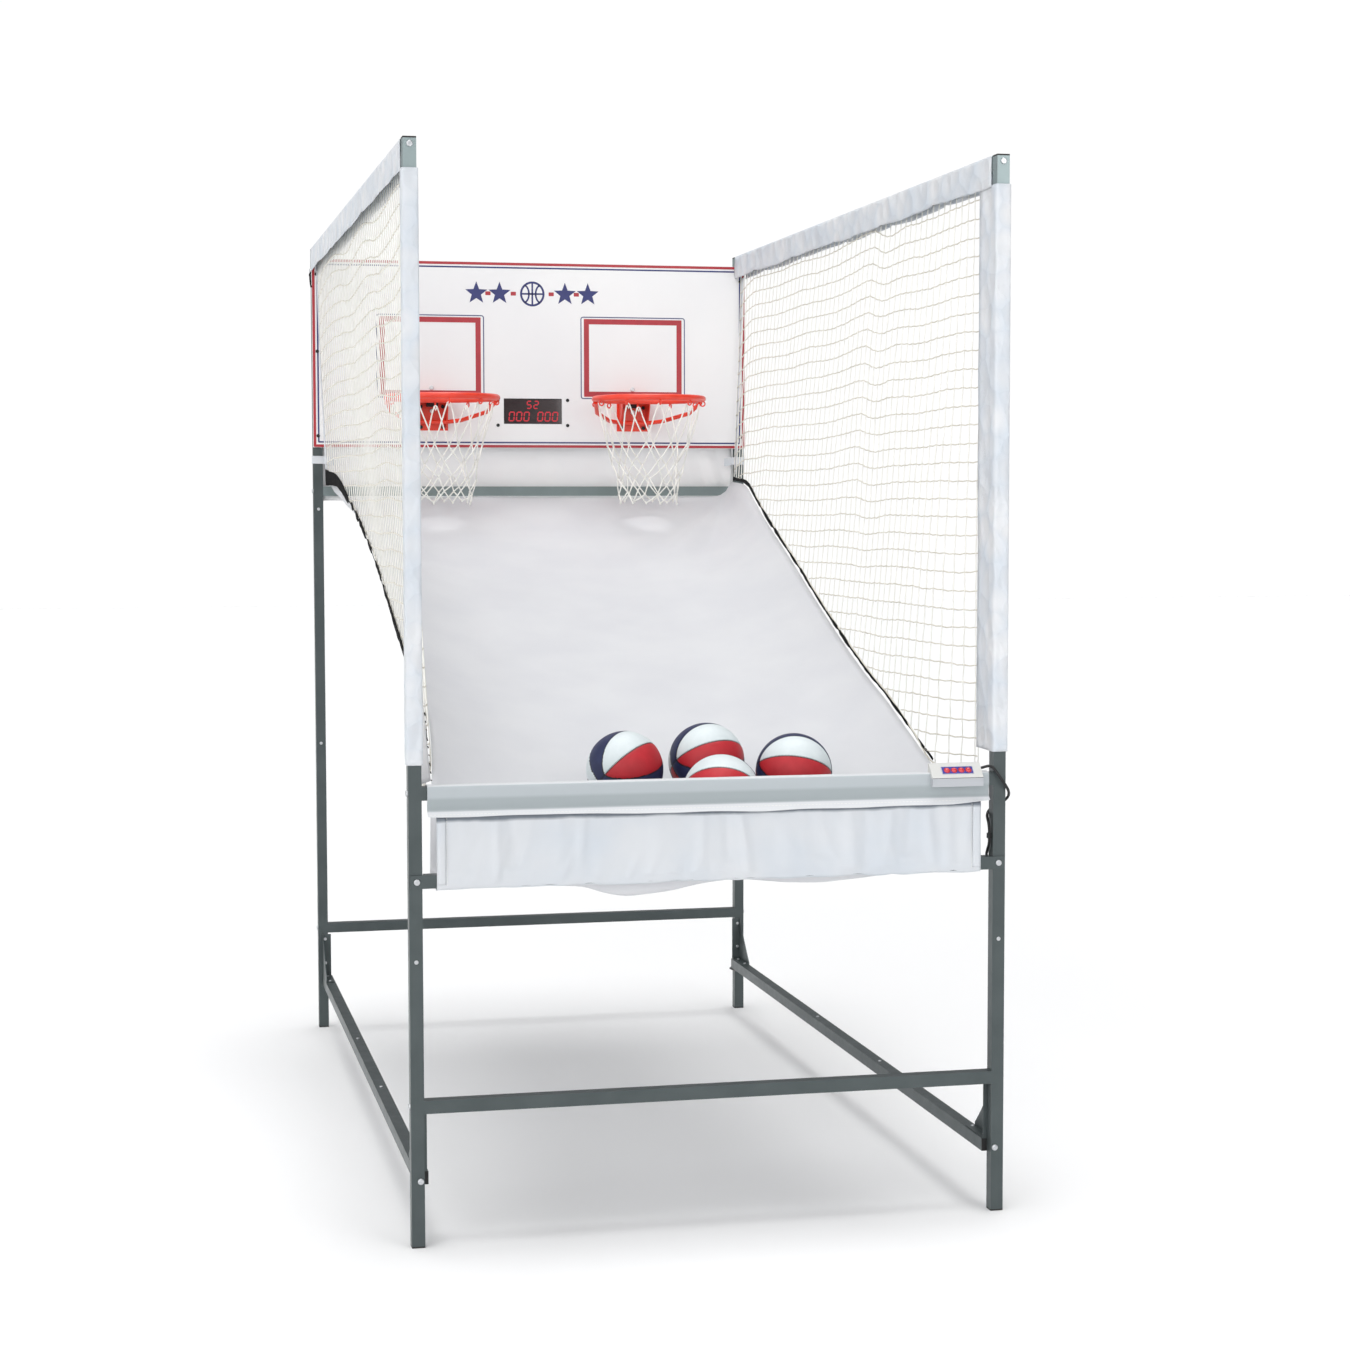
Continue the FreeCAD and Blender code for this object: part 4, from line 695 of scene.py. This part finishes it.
# the panel's folds: middle, half width, depth, and how far each leans
FOLDS = ((-418, 7, 4.4, 0.0), (-398, 9, -3.2, 20), (-300, 16, 3.8, 6), (-252, 8, 4.6, -10),
         (-120, 22, 3.0, 14), (-22, 10, 4.2, -8), (18, 9, -3.4, 10), (44, 8, 4.6, 24),
         (150, 20, 2.8, -12), (262, 12, 4.2, 8), (296, 8, -3.2, 4), (352, 10, 4.6, -16),
         (388, 9, -3.0, -10), (420, 9, 4.6, 12), (462, 8, 3.4, 10), (505, 7, 2.4, 0))
PANEL_TOP, PANEL_FALL = 839, 160        # its height, and how far it hangs to the lower bar


def panel_folds(x, z):
    """Soft vertical folds of the front panel, that lean and fade towards the lower bar."""
    down = (PANEL_TOP - z) / PANEL_FALL
    depth = 0.0
    for middle, wide, deep, lean in FOLDS:
        depth += deep * math.exp(-((x - middle - lean * down) / (wide * (0.8 + 0.7 * down))) ** 2)
    fade = 0.35 + 0.65 * math.sin(math.pi * min(1, 0.15 + 0.75 * (1 - down)))
    lean = (PANEL_TOP - z) * (0.45 if x < 0 else -0.25)
    gather = (1.2 + 4.2 * down * down) * crease(x + lean, z * 0.3, 40, 7)
    return depth * fade + 1.5 * wander(x, z * 0.4, 0, 110, 3) + gather


def make_front_panel():
    """The gathered panel from the top bar to the lower bar, which it wraps under."""
    levels = [PANEL_TOP - 6.5 * i for i in range(24)]
    rows = []
    for index in range(213):
        x = -531 + 1062 * index / 212
        edge = min(1, (531 - abs(x)) / 26)
        line = []
        for z in levels:
            pull = 2.4 * math.sin(math.pi * (PANEL_TOP - z) / PANEL_FALL)
            y = -5.0 + pull - panel_folds(x, z) * edge
            if z < 712:
                y = min(y, -4.3)
            tucked = min(1, max(0, (z - 807) / 19))
            line.append(at(x, y + (2.8 - y) * tucked, z))
        tuck = 1.2 * wander(x, 0, 0, 24, 9) * edge
        low = 673.9 + 2.4 * crease(x, 0, 60, 4)
        under = ((-3.9 - tuck, 683), (-3.2 - tuck, 678.5), (-1.2, low + 1), (3, low),
                 (10, min(low, 674.7)), (16, 674.9), (22, 675.8))
        rows.append(line + [at(x, y, z) for y, z in under])
    panel = cloth("front_panel_cloth", rows, "panel_fabric", thickness=0.9)
    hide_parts("front_panel")
    for side, sign in SIDES:
        levels = [809 - 5.6 * row for row in range(23)]
        stitches = [[at(sign * 512, -6.2, z), at(sign * 512, -6.2, z - 3.2)] for z in levels]
        cords(f"{side}_panel_stitches", stitches, 0.00035, sides=4)
        hem = [[at(sign * (514 + 4 * i), -6.0 + 0.6 * (i in (0, 4)), 811 - 6.7 * j)
                for i in range(5)] for j in range(20)]
        cloth(f"{side}_panel_hem", hem, "panel_fabric", thickness=0.7)


def make_rear_skirt():
    """The cloth behind the board, down to the rail; pulled into folds at its ends."""
    rows = []
    for index in range(161):
        x = -555.5 + 1111 * index / 160
        line = []
        for level in range(23):
            z = 1400.5 + 159.5 * level / 22
            pulled = min(max(0, (abs(x) - 330) / 225) * (1.6 if x > 0 else 1), 1.3)
            slant = (z - 1400) * (0.32 if x > 0 else -0.32)
            fold = 3.2 * pulled * math.sin((x + slant) / 9.5)
            loose = 2.4 * wander(x, z, 0, 150, 4) + 0.8 * wander(x, z * 0.3, 0, 40, 6)
            hang = math.sin(math.pi * level / 22)
            y = 2106.2 + (fold + loose) * (0.2 + 0.8 * hang)
            line.append(at(x, max(y, 2105.6) if z < 1442 else y, z))
        rows.append(line)
    skirt = cloth("rear_skirt_cloth", rows, "skirt_fabric", thickness=0.8)
    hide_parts("rear_skirt")


make_elastic_tie()
make_bar_cover()
make_front_panel()
make_rear_skirt()


# ---- bands and straps

def make_edge_bands():
    """Hook-and-loop bands between the ramp's edge and the nets, in uneven patches."""
    for side, sign, area in (("left", -1, 0.037), ("right", 1, 0.018)):
        rows = []
        y = 235
        while y < 2060:
            reach, rise = smooth_table(REACH, y), smooth_table(RISE, y)
            far = (y - 275) / 1785
            wide = 9 + 4 * wander(y, 0, 0, 130, 3 + sign) + 3 * wander(y, 0, 0, 34, 5 + sign)
            if sign < 0:
                wide += 30 * far ** 6 + 6 * far + 9 * max(0, 1 - max(0, y - 900) / 250)
            else:
                wide += 4 * far ** 3 - 2.5
            patch = wander(y, 0, 0, 52, 9 + sign)
            if patch <= -0.18 and far <= 0.8 and (sign > 0 or y >= 1000):
                wide = 3.0
            out = (8.5 if sign < 0 else 2.6) + 1.3 * wander(y, 0, 0, 28, 2)
            middle = rise + (11 if sign < 0 else 8) + 2 * wander(y, 0, 0, 90, 7)
            rows.append([at(sign * (reach + out + 0.5 * i), y, middle + (i / 2 - 0.5) * wide)
                         for i in range(3)])
            y += 9
        piece = cloth(f"{side}_edge_band", rows, "black_band", 1.6)
        if sign > 0:
            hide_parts("edge_bands")


STRAP_Z = 1.507                # height of the straps' middle, in metres


def make_net_straps():
    """White webbing round each rear post, sewn to itself at the front."""
    for side, sign in SIDES:
        low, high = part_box(f"rear_{side}_post")
        gap, bend = 0.0012, 0.001
        x0, x1, y0, y1 = low.x - gap, high.x + gap, low.y - gap, high.y + gap
        ring = []
        for cx, cy, start in ((x1 - bend, y1 - bend, 0), (x0 + bend, y1 - bend, 90),
                              (x0 + bend, y0 + bend, 180), (x1 - bend, y0 + bend, 270)):
            for turn in [math.radians(start + 30 * step) for step in range(4)]:
                ring.append((cx + bend * math.cos(turn), cy + bend * math.sin(turn)))
        rows = []
        for px, py in ring + ring[:1]:
            sway = 0.0008 * wander(px * 1000, py * 1000, 0, 20, 3)
            rows.append([Vector((px, py, STRAP_Z + sway + (i - 3) * 0.0034)) for i in range(7)])
        strap = cloth(f"{side}_strap", rows, thickness=1.3)
        rows = []
        for i in range(9):
            x = (x0 if sign > 0 else x1) - sign * 0.0035 * i
            y = y0 - gap - 0.0004 * math.sin(i)
            z = STRAP_Z - 0.0005 * i
            rows.append([Vector((x, y, z + (j - 3) * 0.0034)) for j in range(7)])
        tail = cloth(f"{side}_strap_tail", rows, thickness=1.2)
        if sign > 0:
            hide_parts("net_straps")


make_edge_bands()
make_net_straps()


# ---- hoop nets

def make_hoop_net(side, sign):
    """Ten loops on the hooks, then crossing strands that narrow to the mouth."""
    low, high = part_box(f"{side}_rim")
    cx, cy = (low.x + high.x) / 2, low.y + (high.x - low.x) / 2
    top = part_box(f"{side}_hoop_net")[1].z + 0.004
    chance = random.Random(40 + sign)
    # drop and radius at each level of knots, and its turn in steps
    levels = ((0, 0.131, 0.5), (0.036, 0.124, 0.5), (0.098, 0.106, 0), (0.148, 0.092, 0.5),
              (0.188, 0.081, 0), (0.224, 0.074, 0.5), (0.251, 0.071, 0))
    knots = {}
    for level, (drop, radius, shift) in enumerate(levels):
        for number in range(10):
            turn = 2 * math.pi * (number + shift) / 10
            place = Vector((cx + radius * math.cos(turn), cy + radius * math.sin(turn),
                            top - drop))
            if level > 1:
                loose = 0.003 + 0.0012 * level
                fall = (-0.006, 0.006) if level < 6 else (-0.001, 0.007)
                place += Vector((chance.uniform(-loose, loose), chance.uniform(-loose, loose),
                                 chance.uniform(*fall)))
            knots[level, number] = place

    def outward(point):
        return Vector((point.x - cx, point.y - cy, 0)).normalized()

    lines = []
    for number in range(10):
        hook = knots[0, number]
        left, right = knots[2, number], knots[2, (number + 1) % 10]
        out = outward(hook)
        beside = Vector((-out.y, out.x, 0))
        for end, way in ((left, -1), (right, 1)):
            start = hook + beside * (0.0035 * way) + Vector((0, 0, 0.002))
            shoulder = hook + beside * (0.011 * way) + Vector((0, 0, -0.022)) - out * 0.004
            middle = (shoulder + end) / 2 + out * chance.uniform(-0.002, 0.004)
            lines.append(([hook + Vector((0, 0, 0.0045)), start, shoulder, middle, end], 0.0019))
        lines.append(([hook + beside * 0.004 + Vector((0, 0, 0.003)),
                       hook - out * 0.004 + Vector((0, 0, -0.008)),
                       hook - beside * 0.004 + Vector((0, 0, 0.003))], 0.0019))
    for level in (2, 3, 4, 5):
        first = -1 if level in (2, 4) else 0
        for number in range(10):
            here = knots[level, number]
            for step in (first, first + 1):
                end = knots[level + 1, (number + step) % 10]
                middle = (here + end) / 2
                middle += outward(middle) * chance.uniform(-0.002, 0.003) + Vector((0, 0, -0.0015))
                lines.append(([here, middle, end], 0.0017))
    net = cords(f"{side}_hoop_cords", lines, 0.0017, sides=8)
    points, faces = [], []
    shape = bmesh.new()
    bmesh.ops.create_icosphere(shape, subdivisions=1, radius=0.0031)
    for place in [place for (level, _), place in knots.items() if level > 1]:
        base = len(points)
        for vertex in shape.verts:
            stretch = Vector((vertex.co.x, vertex.co.y, vertex.co.z * 1.5))
            lumps = 1 + 0.2 * noise.noise(vertex.co * 900 + place * 50)
            points.append(place + stretch * lumps)
        faces += [tuple(v.index + base for v in face.verts) for face in shape.faces]
    shape.free()
    mesh_piece(f"{side}_hoop_knots", points, faces, "net_cord")
    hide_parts(f"{side}_hoop_net")


for side, sign in SIDES:
    make_hoop_net(side, sign)


# ---- board print

def plates(name, outlines, depth, face_y, look, lift=0.0):
    """Flat shapes standing on a face that looks towards the player, as one mesh.

    Each shape is an outline and, for a band, its hole, which has as many points.
    """
    points, faces = [], []
    for outline, hole in outlines:
        rings = (outline, hole) if hole else (outline,)
        count, base = len(outline), len(points)
        back = base + count * len(rings)
        for y in (face_y - lift - depth, face_y - lift):
            points += [Vector((x * 0.001, y, z * 0.001)) for ring in rings for x, z in ring]
        if not hole:
            faces += [tuple(range(base, back)), tuple(reversed(range(back, back + count)))]
        for i in range(count):
            j = (i + 1) % count
            faces.append((base + j, base + i, back + i, back + j))
            if hole:
                faces += [(base + i, base + j, base + count + j, base + count + i),
                          (back + j, back + i, back + count + i, back + count + j),
                          (base + count + i, base + count + j, back + count + j, back + count + i)]
    return mesh_piece(name, points, faces, look, smooth=False)


def round_box(x0, z0, x1, z1, radius, steps=5):
    """The outline of a rectangle with round corners, anticlockwise from its lower right."""
    line = []
    for cx, cz, start in ((x1 - radius, z0 + radius, -90), (x1 - radius, z1 - radius, 0),
                          (x0 + radius, z1 - radius, 90), (x0 + radius, z0 + radius, 180)):
        for step in range(steps + 1):
            turn = math.radians(start + 90 * step / steps)
            line.append((cx + radius * math.cos(turn), cz + radius * math.sin(turn)))
    return line


def frame_band(x0, z0, x1, z1, wide, radius):
    """A band round a rectangle: its outer and inner outlines."""
    inner = max(radius - wide, 0.2)
    return (round_box(x0, z0, x1, z1, radius),
            round_box(x0 + wide, z0 + wide, x1 - wide, z1 - wide, inner))


def around(cx, cz, radii, steps, start=0):
    """Points round a centre, whose distances repeat."""
    line = []
    for step in range(steps):
        turn, far = math.radians(start + 360 * step / steps), radii[step % len(radii)]
        line.append((cx + far * math.cos(turn), cz + far * math.sin(turn)))
    return line


def band_along(line, wide):
    """The outline of a band that follows a line of points."""
    left, right = [], []
    for index, (x, z) in enumerate(line):
        x1, z1 = line[min(index + 1, len(line) - 1)]
        x0, z0 = line[max(index - 1, 0)]
        far = math.hypot(x1 - x0, z1 - z0)
        nx, nz = -(z1 - z0) / far * wide / 2, (x1 - x0) / far * wide / 2
        left.append((x + nx, z + nz))
        right.append((x - nx, z - nz))
    return right + left[::-1]


def make_board_print():
    """Border, target frames and an emblem of stars and a ball."""
    low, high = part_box("backboard")
    face = low.y
    x0, x1, z0, z1 = (v * 1000 for v in (low.x, high.x, low.z, high.z))
    red = [frame_band(x0 + 0.6, z0 + 0.6, x1 - 0.6, z1 - 0.6, 7, 3)]
    navy = [frame_band(x0 + 12, z0 + 12, x1 - 12, z1 - 12, 4, 3)]
    for middle in (-273, 273):
        red.append(frame_band(middle - 134, 1677, middle + 134, 1884, 14, 1.2))
        navy.append(frame_band(middle - 143, 1671, middle + 143, 1890, 2.6, 7))
    level, line = 1948, 4.5         # the emblem's height and the width of its lines
    navy.append((around(0, level, (33,), 36), around(0, level, (27.5,), 36)))
    navy.append((band_along([(0, level - 28), (0, level + 28)], line), None))
    navy.append((band_along([(-28, level), (28, level)], line), None))
    for way in (-1, 1):
        turns = [math.radians(a) for a in range(-80, 81, 16)]
        curve = [(way * (23 - 14 * math.cos(a)), level + 23 * math.sin(a)) for a in turns]
        navy.append((band_along(curve, line), None))
        for far in (88, 150):
            navy.append((around(way * far, level, (31, 31 * 0.42), 10, 90), None))
        for far in (51, 119):
            red.append((round_box(way * far - 7, level - 5, way * far + 7, level + 5, 1.5), None))
    plates("board_print_red", red, 0.0003, face, "print_red")
    plates("board_print_navy", navy, 0.0003, face, "print_navy", lift=0.00005)


SEGMENTS = {"0": "abcdef", "2": "abged", "5": "afgcd"}


def digit(char, cx, cz, high, wide, thick):
    """The lit segments of one number, leaning a little."""
    z, x, half = high / 2, wide / 2, thick / 2
    gap, tip, lean = thick * 0.6, thick * 0.45, 0.1
    ends = {name: ((gap - x, level), (x - gap, level))
            for name, level in (("a", z), ("g", 0), ("d", -z))}
    for name, aside, top in (("f", -x, z), ("b", x, z), ("e", -x, 0), ("c", x, 0)):
        ends[name] = ((aside, top - gap), (aside, top - z + gap))
    shapes = []
    for name in SEGMENTS[char]:
        (xa, za), (xb, zb) = ends[name]
        far = math.hypot(xb - xa, zb - za)
        ux, uz = (xb - xa) / far, (zb - za) / far
        outline = [(xa - ux * tip, za - uz * tip), (xa + uz * half, za - ux * half),
                   (xb + uz * half, zb - ux * half), (xb + ux * tip, zb + uz * tip),
                   (xb - uz * half, zb + ux * half), (xa - uz * half, za + ux * half)]
        shapes.append(([(cx + px + pz * lean, cz + pz) for px, pz in outline], None))
    return shapes


def make_digits():
    """A time of 52 above two scores of nothing, and the window's dark edge."""
    low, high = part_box("display_window")
    middle = (low.z + high.z) * 500
    shapes = []
    for char, x in (("5", -10), ("2", 9)):
        shapes += digit(char, x, middle + 17, 19, 11, 3.0)
    for x in (-57, -37, -17, 20, 40, 60):
        shapes += digit("0", x, middle - 14, 23, 13, 3.2)
    plates("display_digits", shapes, 0.0002, low.y, "lit_segment")
    x0, z0, x1, z1 = (v * 1000 for v in (low.x, low.z, high.x, high.z))
    rim = frame_band(x0 - 0.1, z0, x1 + 0.1, z1, 1.2, 1.5)
    plates("display_edge", [rim], 0.0006, low.y, "black_plastic")


make_board_print()
make_digits()


# ---- control box marks

def make_label_marks():
    """A white line round the label, and the dark seam between the box's lid and its front."""
    slope = math.atan2(26.6, 25.5)      # of the box's face: its rise and its run
    low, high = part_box("control_label")
    along = Vector((0, math.cos(slope), math.sin(slope)))
    out = Vector((0, -math.sin(slope), math.cos(slope)))
    centre = (low + high) / 2 + out * 0.0002
    wide, tall = (high.x - low.x) / 2 - 0.0006, 0.0086
    corners = [centre + Vector((sx * wide, 0, 0)) + along * sy * tall
               for sx, sy in ((-1, -1), (1, -1), (1, 1), (-1, 1), (-1, -1))]
    edges = [[start.lerp(end, t) for t in (0, 0.5, 1)] for start, end in zip(corners, corners[1:])]
    cords("label_marks", edges, 0.00028, "print_white", 4)
    low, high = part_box("control_box_cover")
    seam = [Vector((x, at(0, -18.0, 0).y, 0.8597))
            for x in (low.x + 0.0004, (low.x + high.x) / 2, high.x - 0.0004)]
    cords("lid_seam", [seam], 0.0005, "case_seam", 6)


make_label_marks()


# ---- balls

BALL_RADIUS = 0.0762


def ball_panel(point):
    """The distance to the nearest seam, and the panel's colour, for a point of the unit ball."""
    x, _, z = point
    loop = abs(x) - (0.28 + 0.67 * abs(z) ** 1.3)
    nearest = min(abs(z), abs(loop) * 0.85, abs(x))
    if (loop > 0) == (x > 0):
        return nearest, "ball_white" if z > 0 else "ball_red"
    return nearest, "ball_navy"


def make_ball_mesh():
    """One ball: a fine sphere with its seams pressed in, and its panels' colours."""
    shape = bmesh.new()
    bmesh.ops.create_icosphere(shape, subdivisions=6, radius=1.0)
    looks = ("ball_white", "ball_red", "ball_navy", "ball_seam")
    for vertex in shape.verts:
        groove = 0.0011 * max(0, 1 - ball_panel(vertex.co)[0] / 0.030)
        vertex.co = vertex.co.normalized() * (BALL_RADIUS - groove)
    for face in shape.faces:
        near, name = ball_panel(face.calc_center_median().normalized())
        face.material_index = looks.index("ball_seam" if near < 0.017 else name)
        face.smooth = True
    data = bpy.data.meshes.new("ball")
    shape.to_mesh(data)
    shape.free()
    for name in looks:
        data.materials.append(LOOKS[name])
    return data


def make_balls():
    """The four balls, each turned to show its own panels."""
    data = make_ball_mesh()
    facing = rotation("Z", -104) @ rotation("Y", -6)
    turns = ((42, 14, 47), (21, 25, 28), (-3, 42, -2), (-6, 23, 5))
    for number, (roll, tilt, yaw) in enumerate(turns, 1):
        low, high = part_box(f"ball_{number}")
        ball = put(f"game_ball_{number}", data)
        turn = facing @ (rotation("X", roll) @ rotation("Y", -tilt) @ rotation("Z", yaw))
        ball.matrix_world = Matrix.Translation((low + high) / 2) @ turn
        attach(ball, f"ball_{number}")
        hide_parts(f"ball_{number}")


make_balls()


# ---- floor and light

def aim(lamp, ahead):
    lamp.rotation_euler = Vector(ahead).to_track_quat("-Z", "Y").to_euler()


def make_studio():
    """A floor, a white surround that only the camera sees, and soft lamps."""
    scene = bpy.context.scene
    scene.view_settings.view_transform = "Standard"
    scene.view_settings.look = "None"
    floor_data = bpy.data.meshes.new("floor")
    floor_data.from_pydata([(-30, -30, 0), (30, -30, 0), (30, 30, 0), (-30, 30, 0)], [],
                           [(0, 1, 2, 3)])
    floor_data.materials.append(Look("studio_floor", (0.93, 0.93, 0.93, 1), 0.9).material)
    put("floor", floor_data)

    world = bpy.data.worlds.new("studio")
    scene.world = world
    world.use_nodes = True
    tree = world.node_tree
    sky, seen = tree.nodes["Background"], tree.nodes.new("ShaderNodeBackground")
    for node, colour, strength in ((sky, (0.97, 0.98, 1.0, 1), 0.34), (seen, (1, 1, 1, 1), 1.02)):
        node.inputs["Color"].default_value = colour
        node.inputs["Strength"].default_value = strength
    rays = tree.nodes.new("ShaderNodeLightPath").outputs["Is Camera Ray"]
    mix = tree.nodes.new("ShaderNodeMixShader")
    for start, end in zip((rays, sky.outputs[0], seen.outputs[0]), mix.inputs):
        tree.links.new(start, end)
    tree.links.new(mix.outputs[0], tree.nodes["World Output"].inputs["Surface"])

    for name, ahead, spread, power in (("overhead", (-0.01, -0.05, -1.0), 38, 1.8),
                                       ("front", (0.35, 0.85, -0.32), 60, 1.1),
                                       ("side", (0.95, 0.3, -0.2), 80, 1.25)):
        light = bpy.data.lights.new(name, "SUN")
        light.angle, light.energy = math.radians(spread), power
        aim(put(name, light), ahead)

    light = bpy.data.lights.new("softbox", "AREA")
    light.shape, light.size, light.energy = "SQUARE", 2.4, 45
    softbox = put("softbox", light)
    softbox.location = (2.4, -5.6, 2.7)
    aim(softbox, (-2.4, 5.8, -1.1))


make_studio()
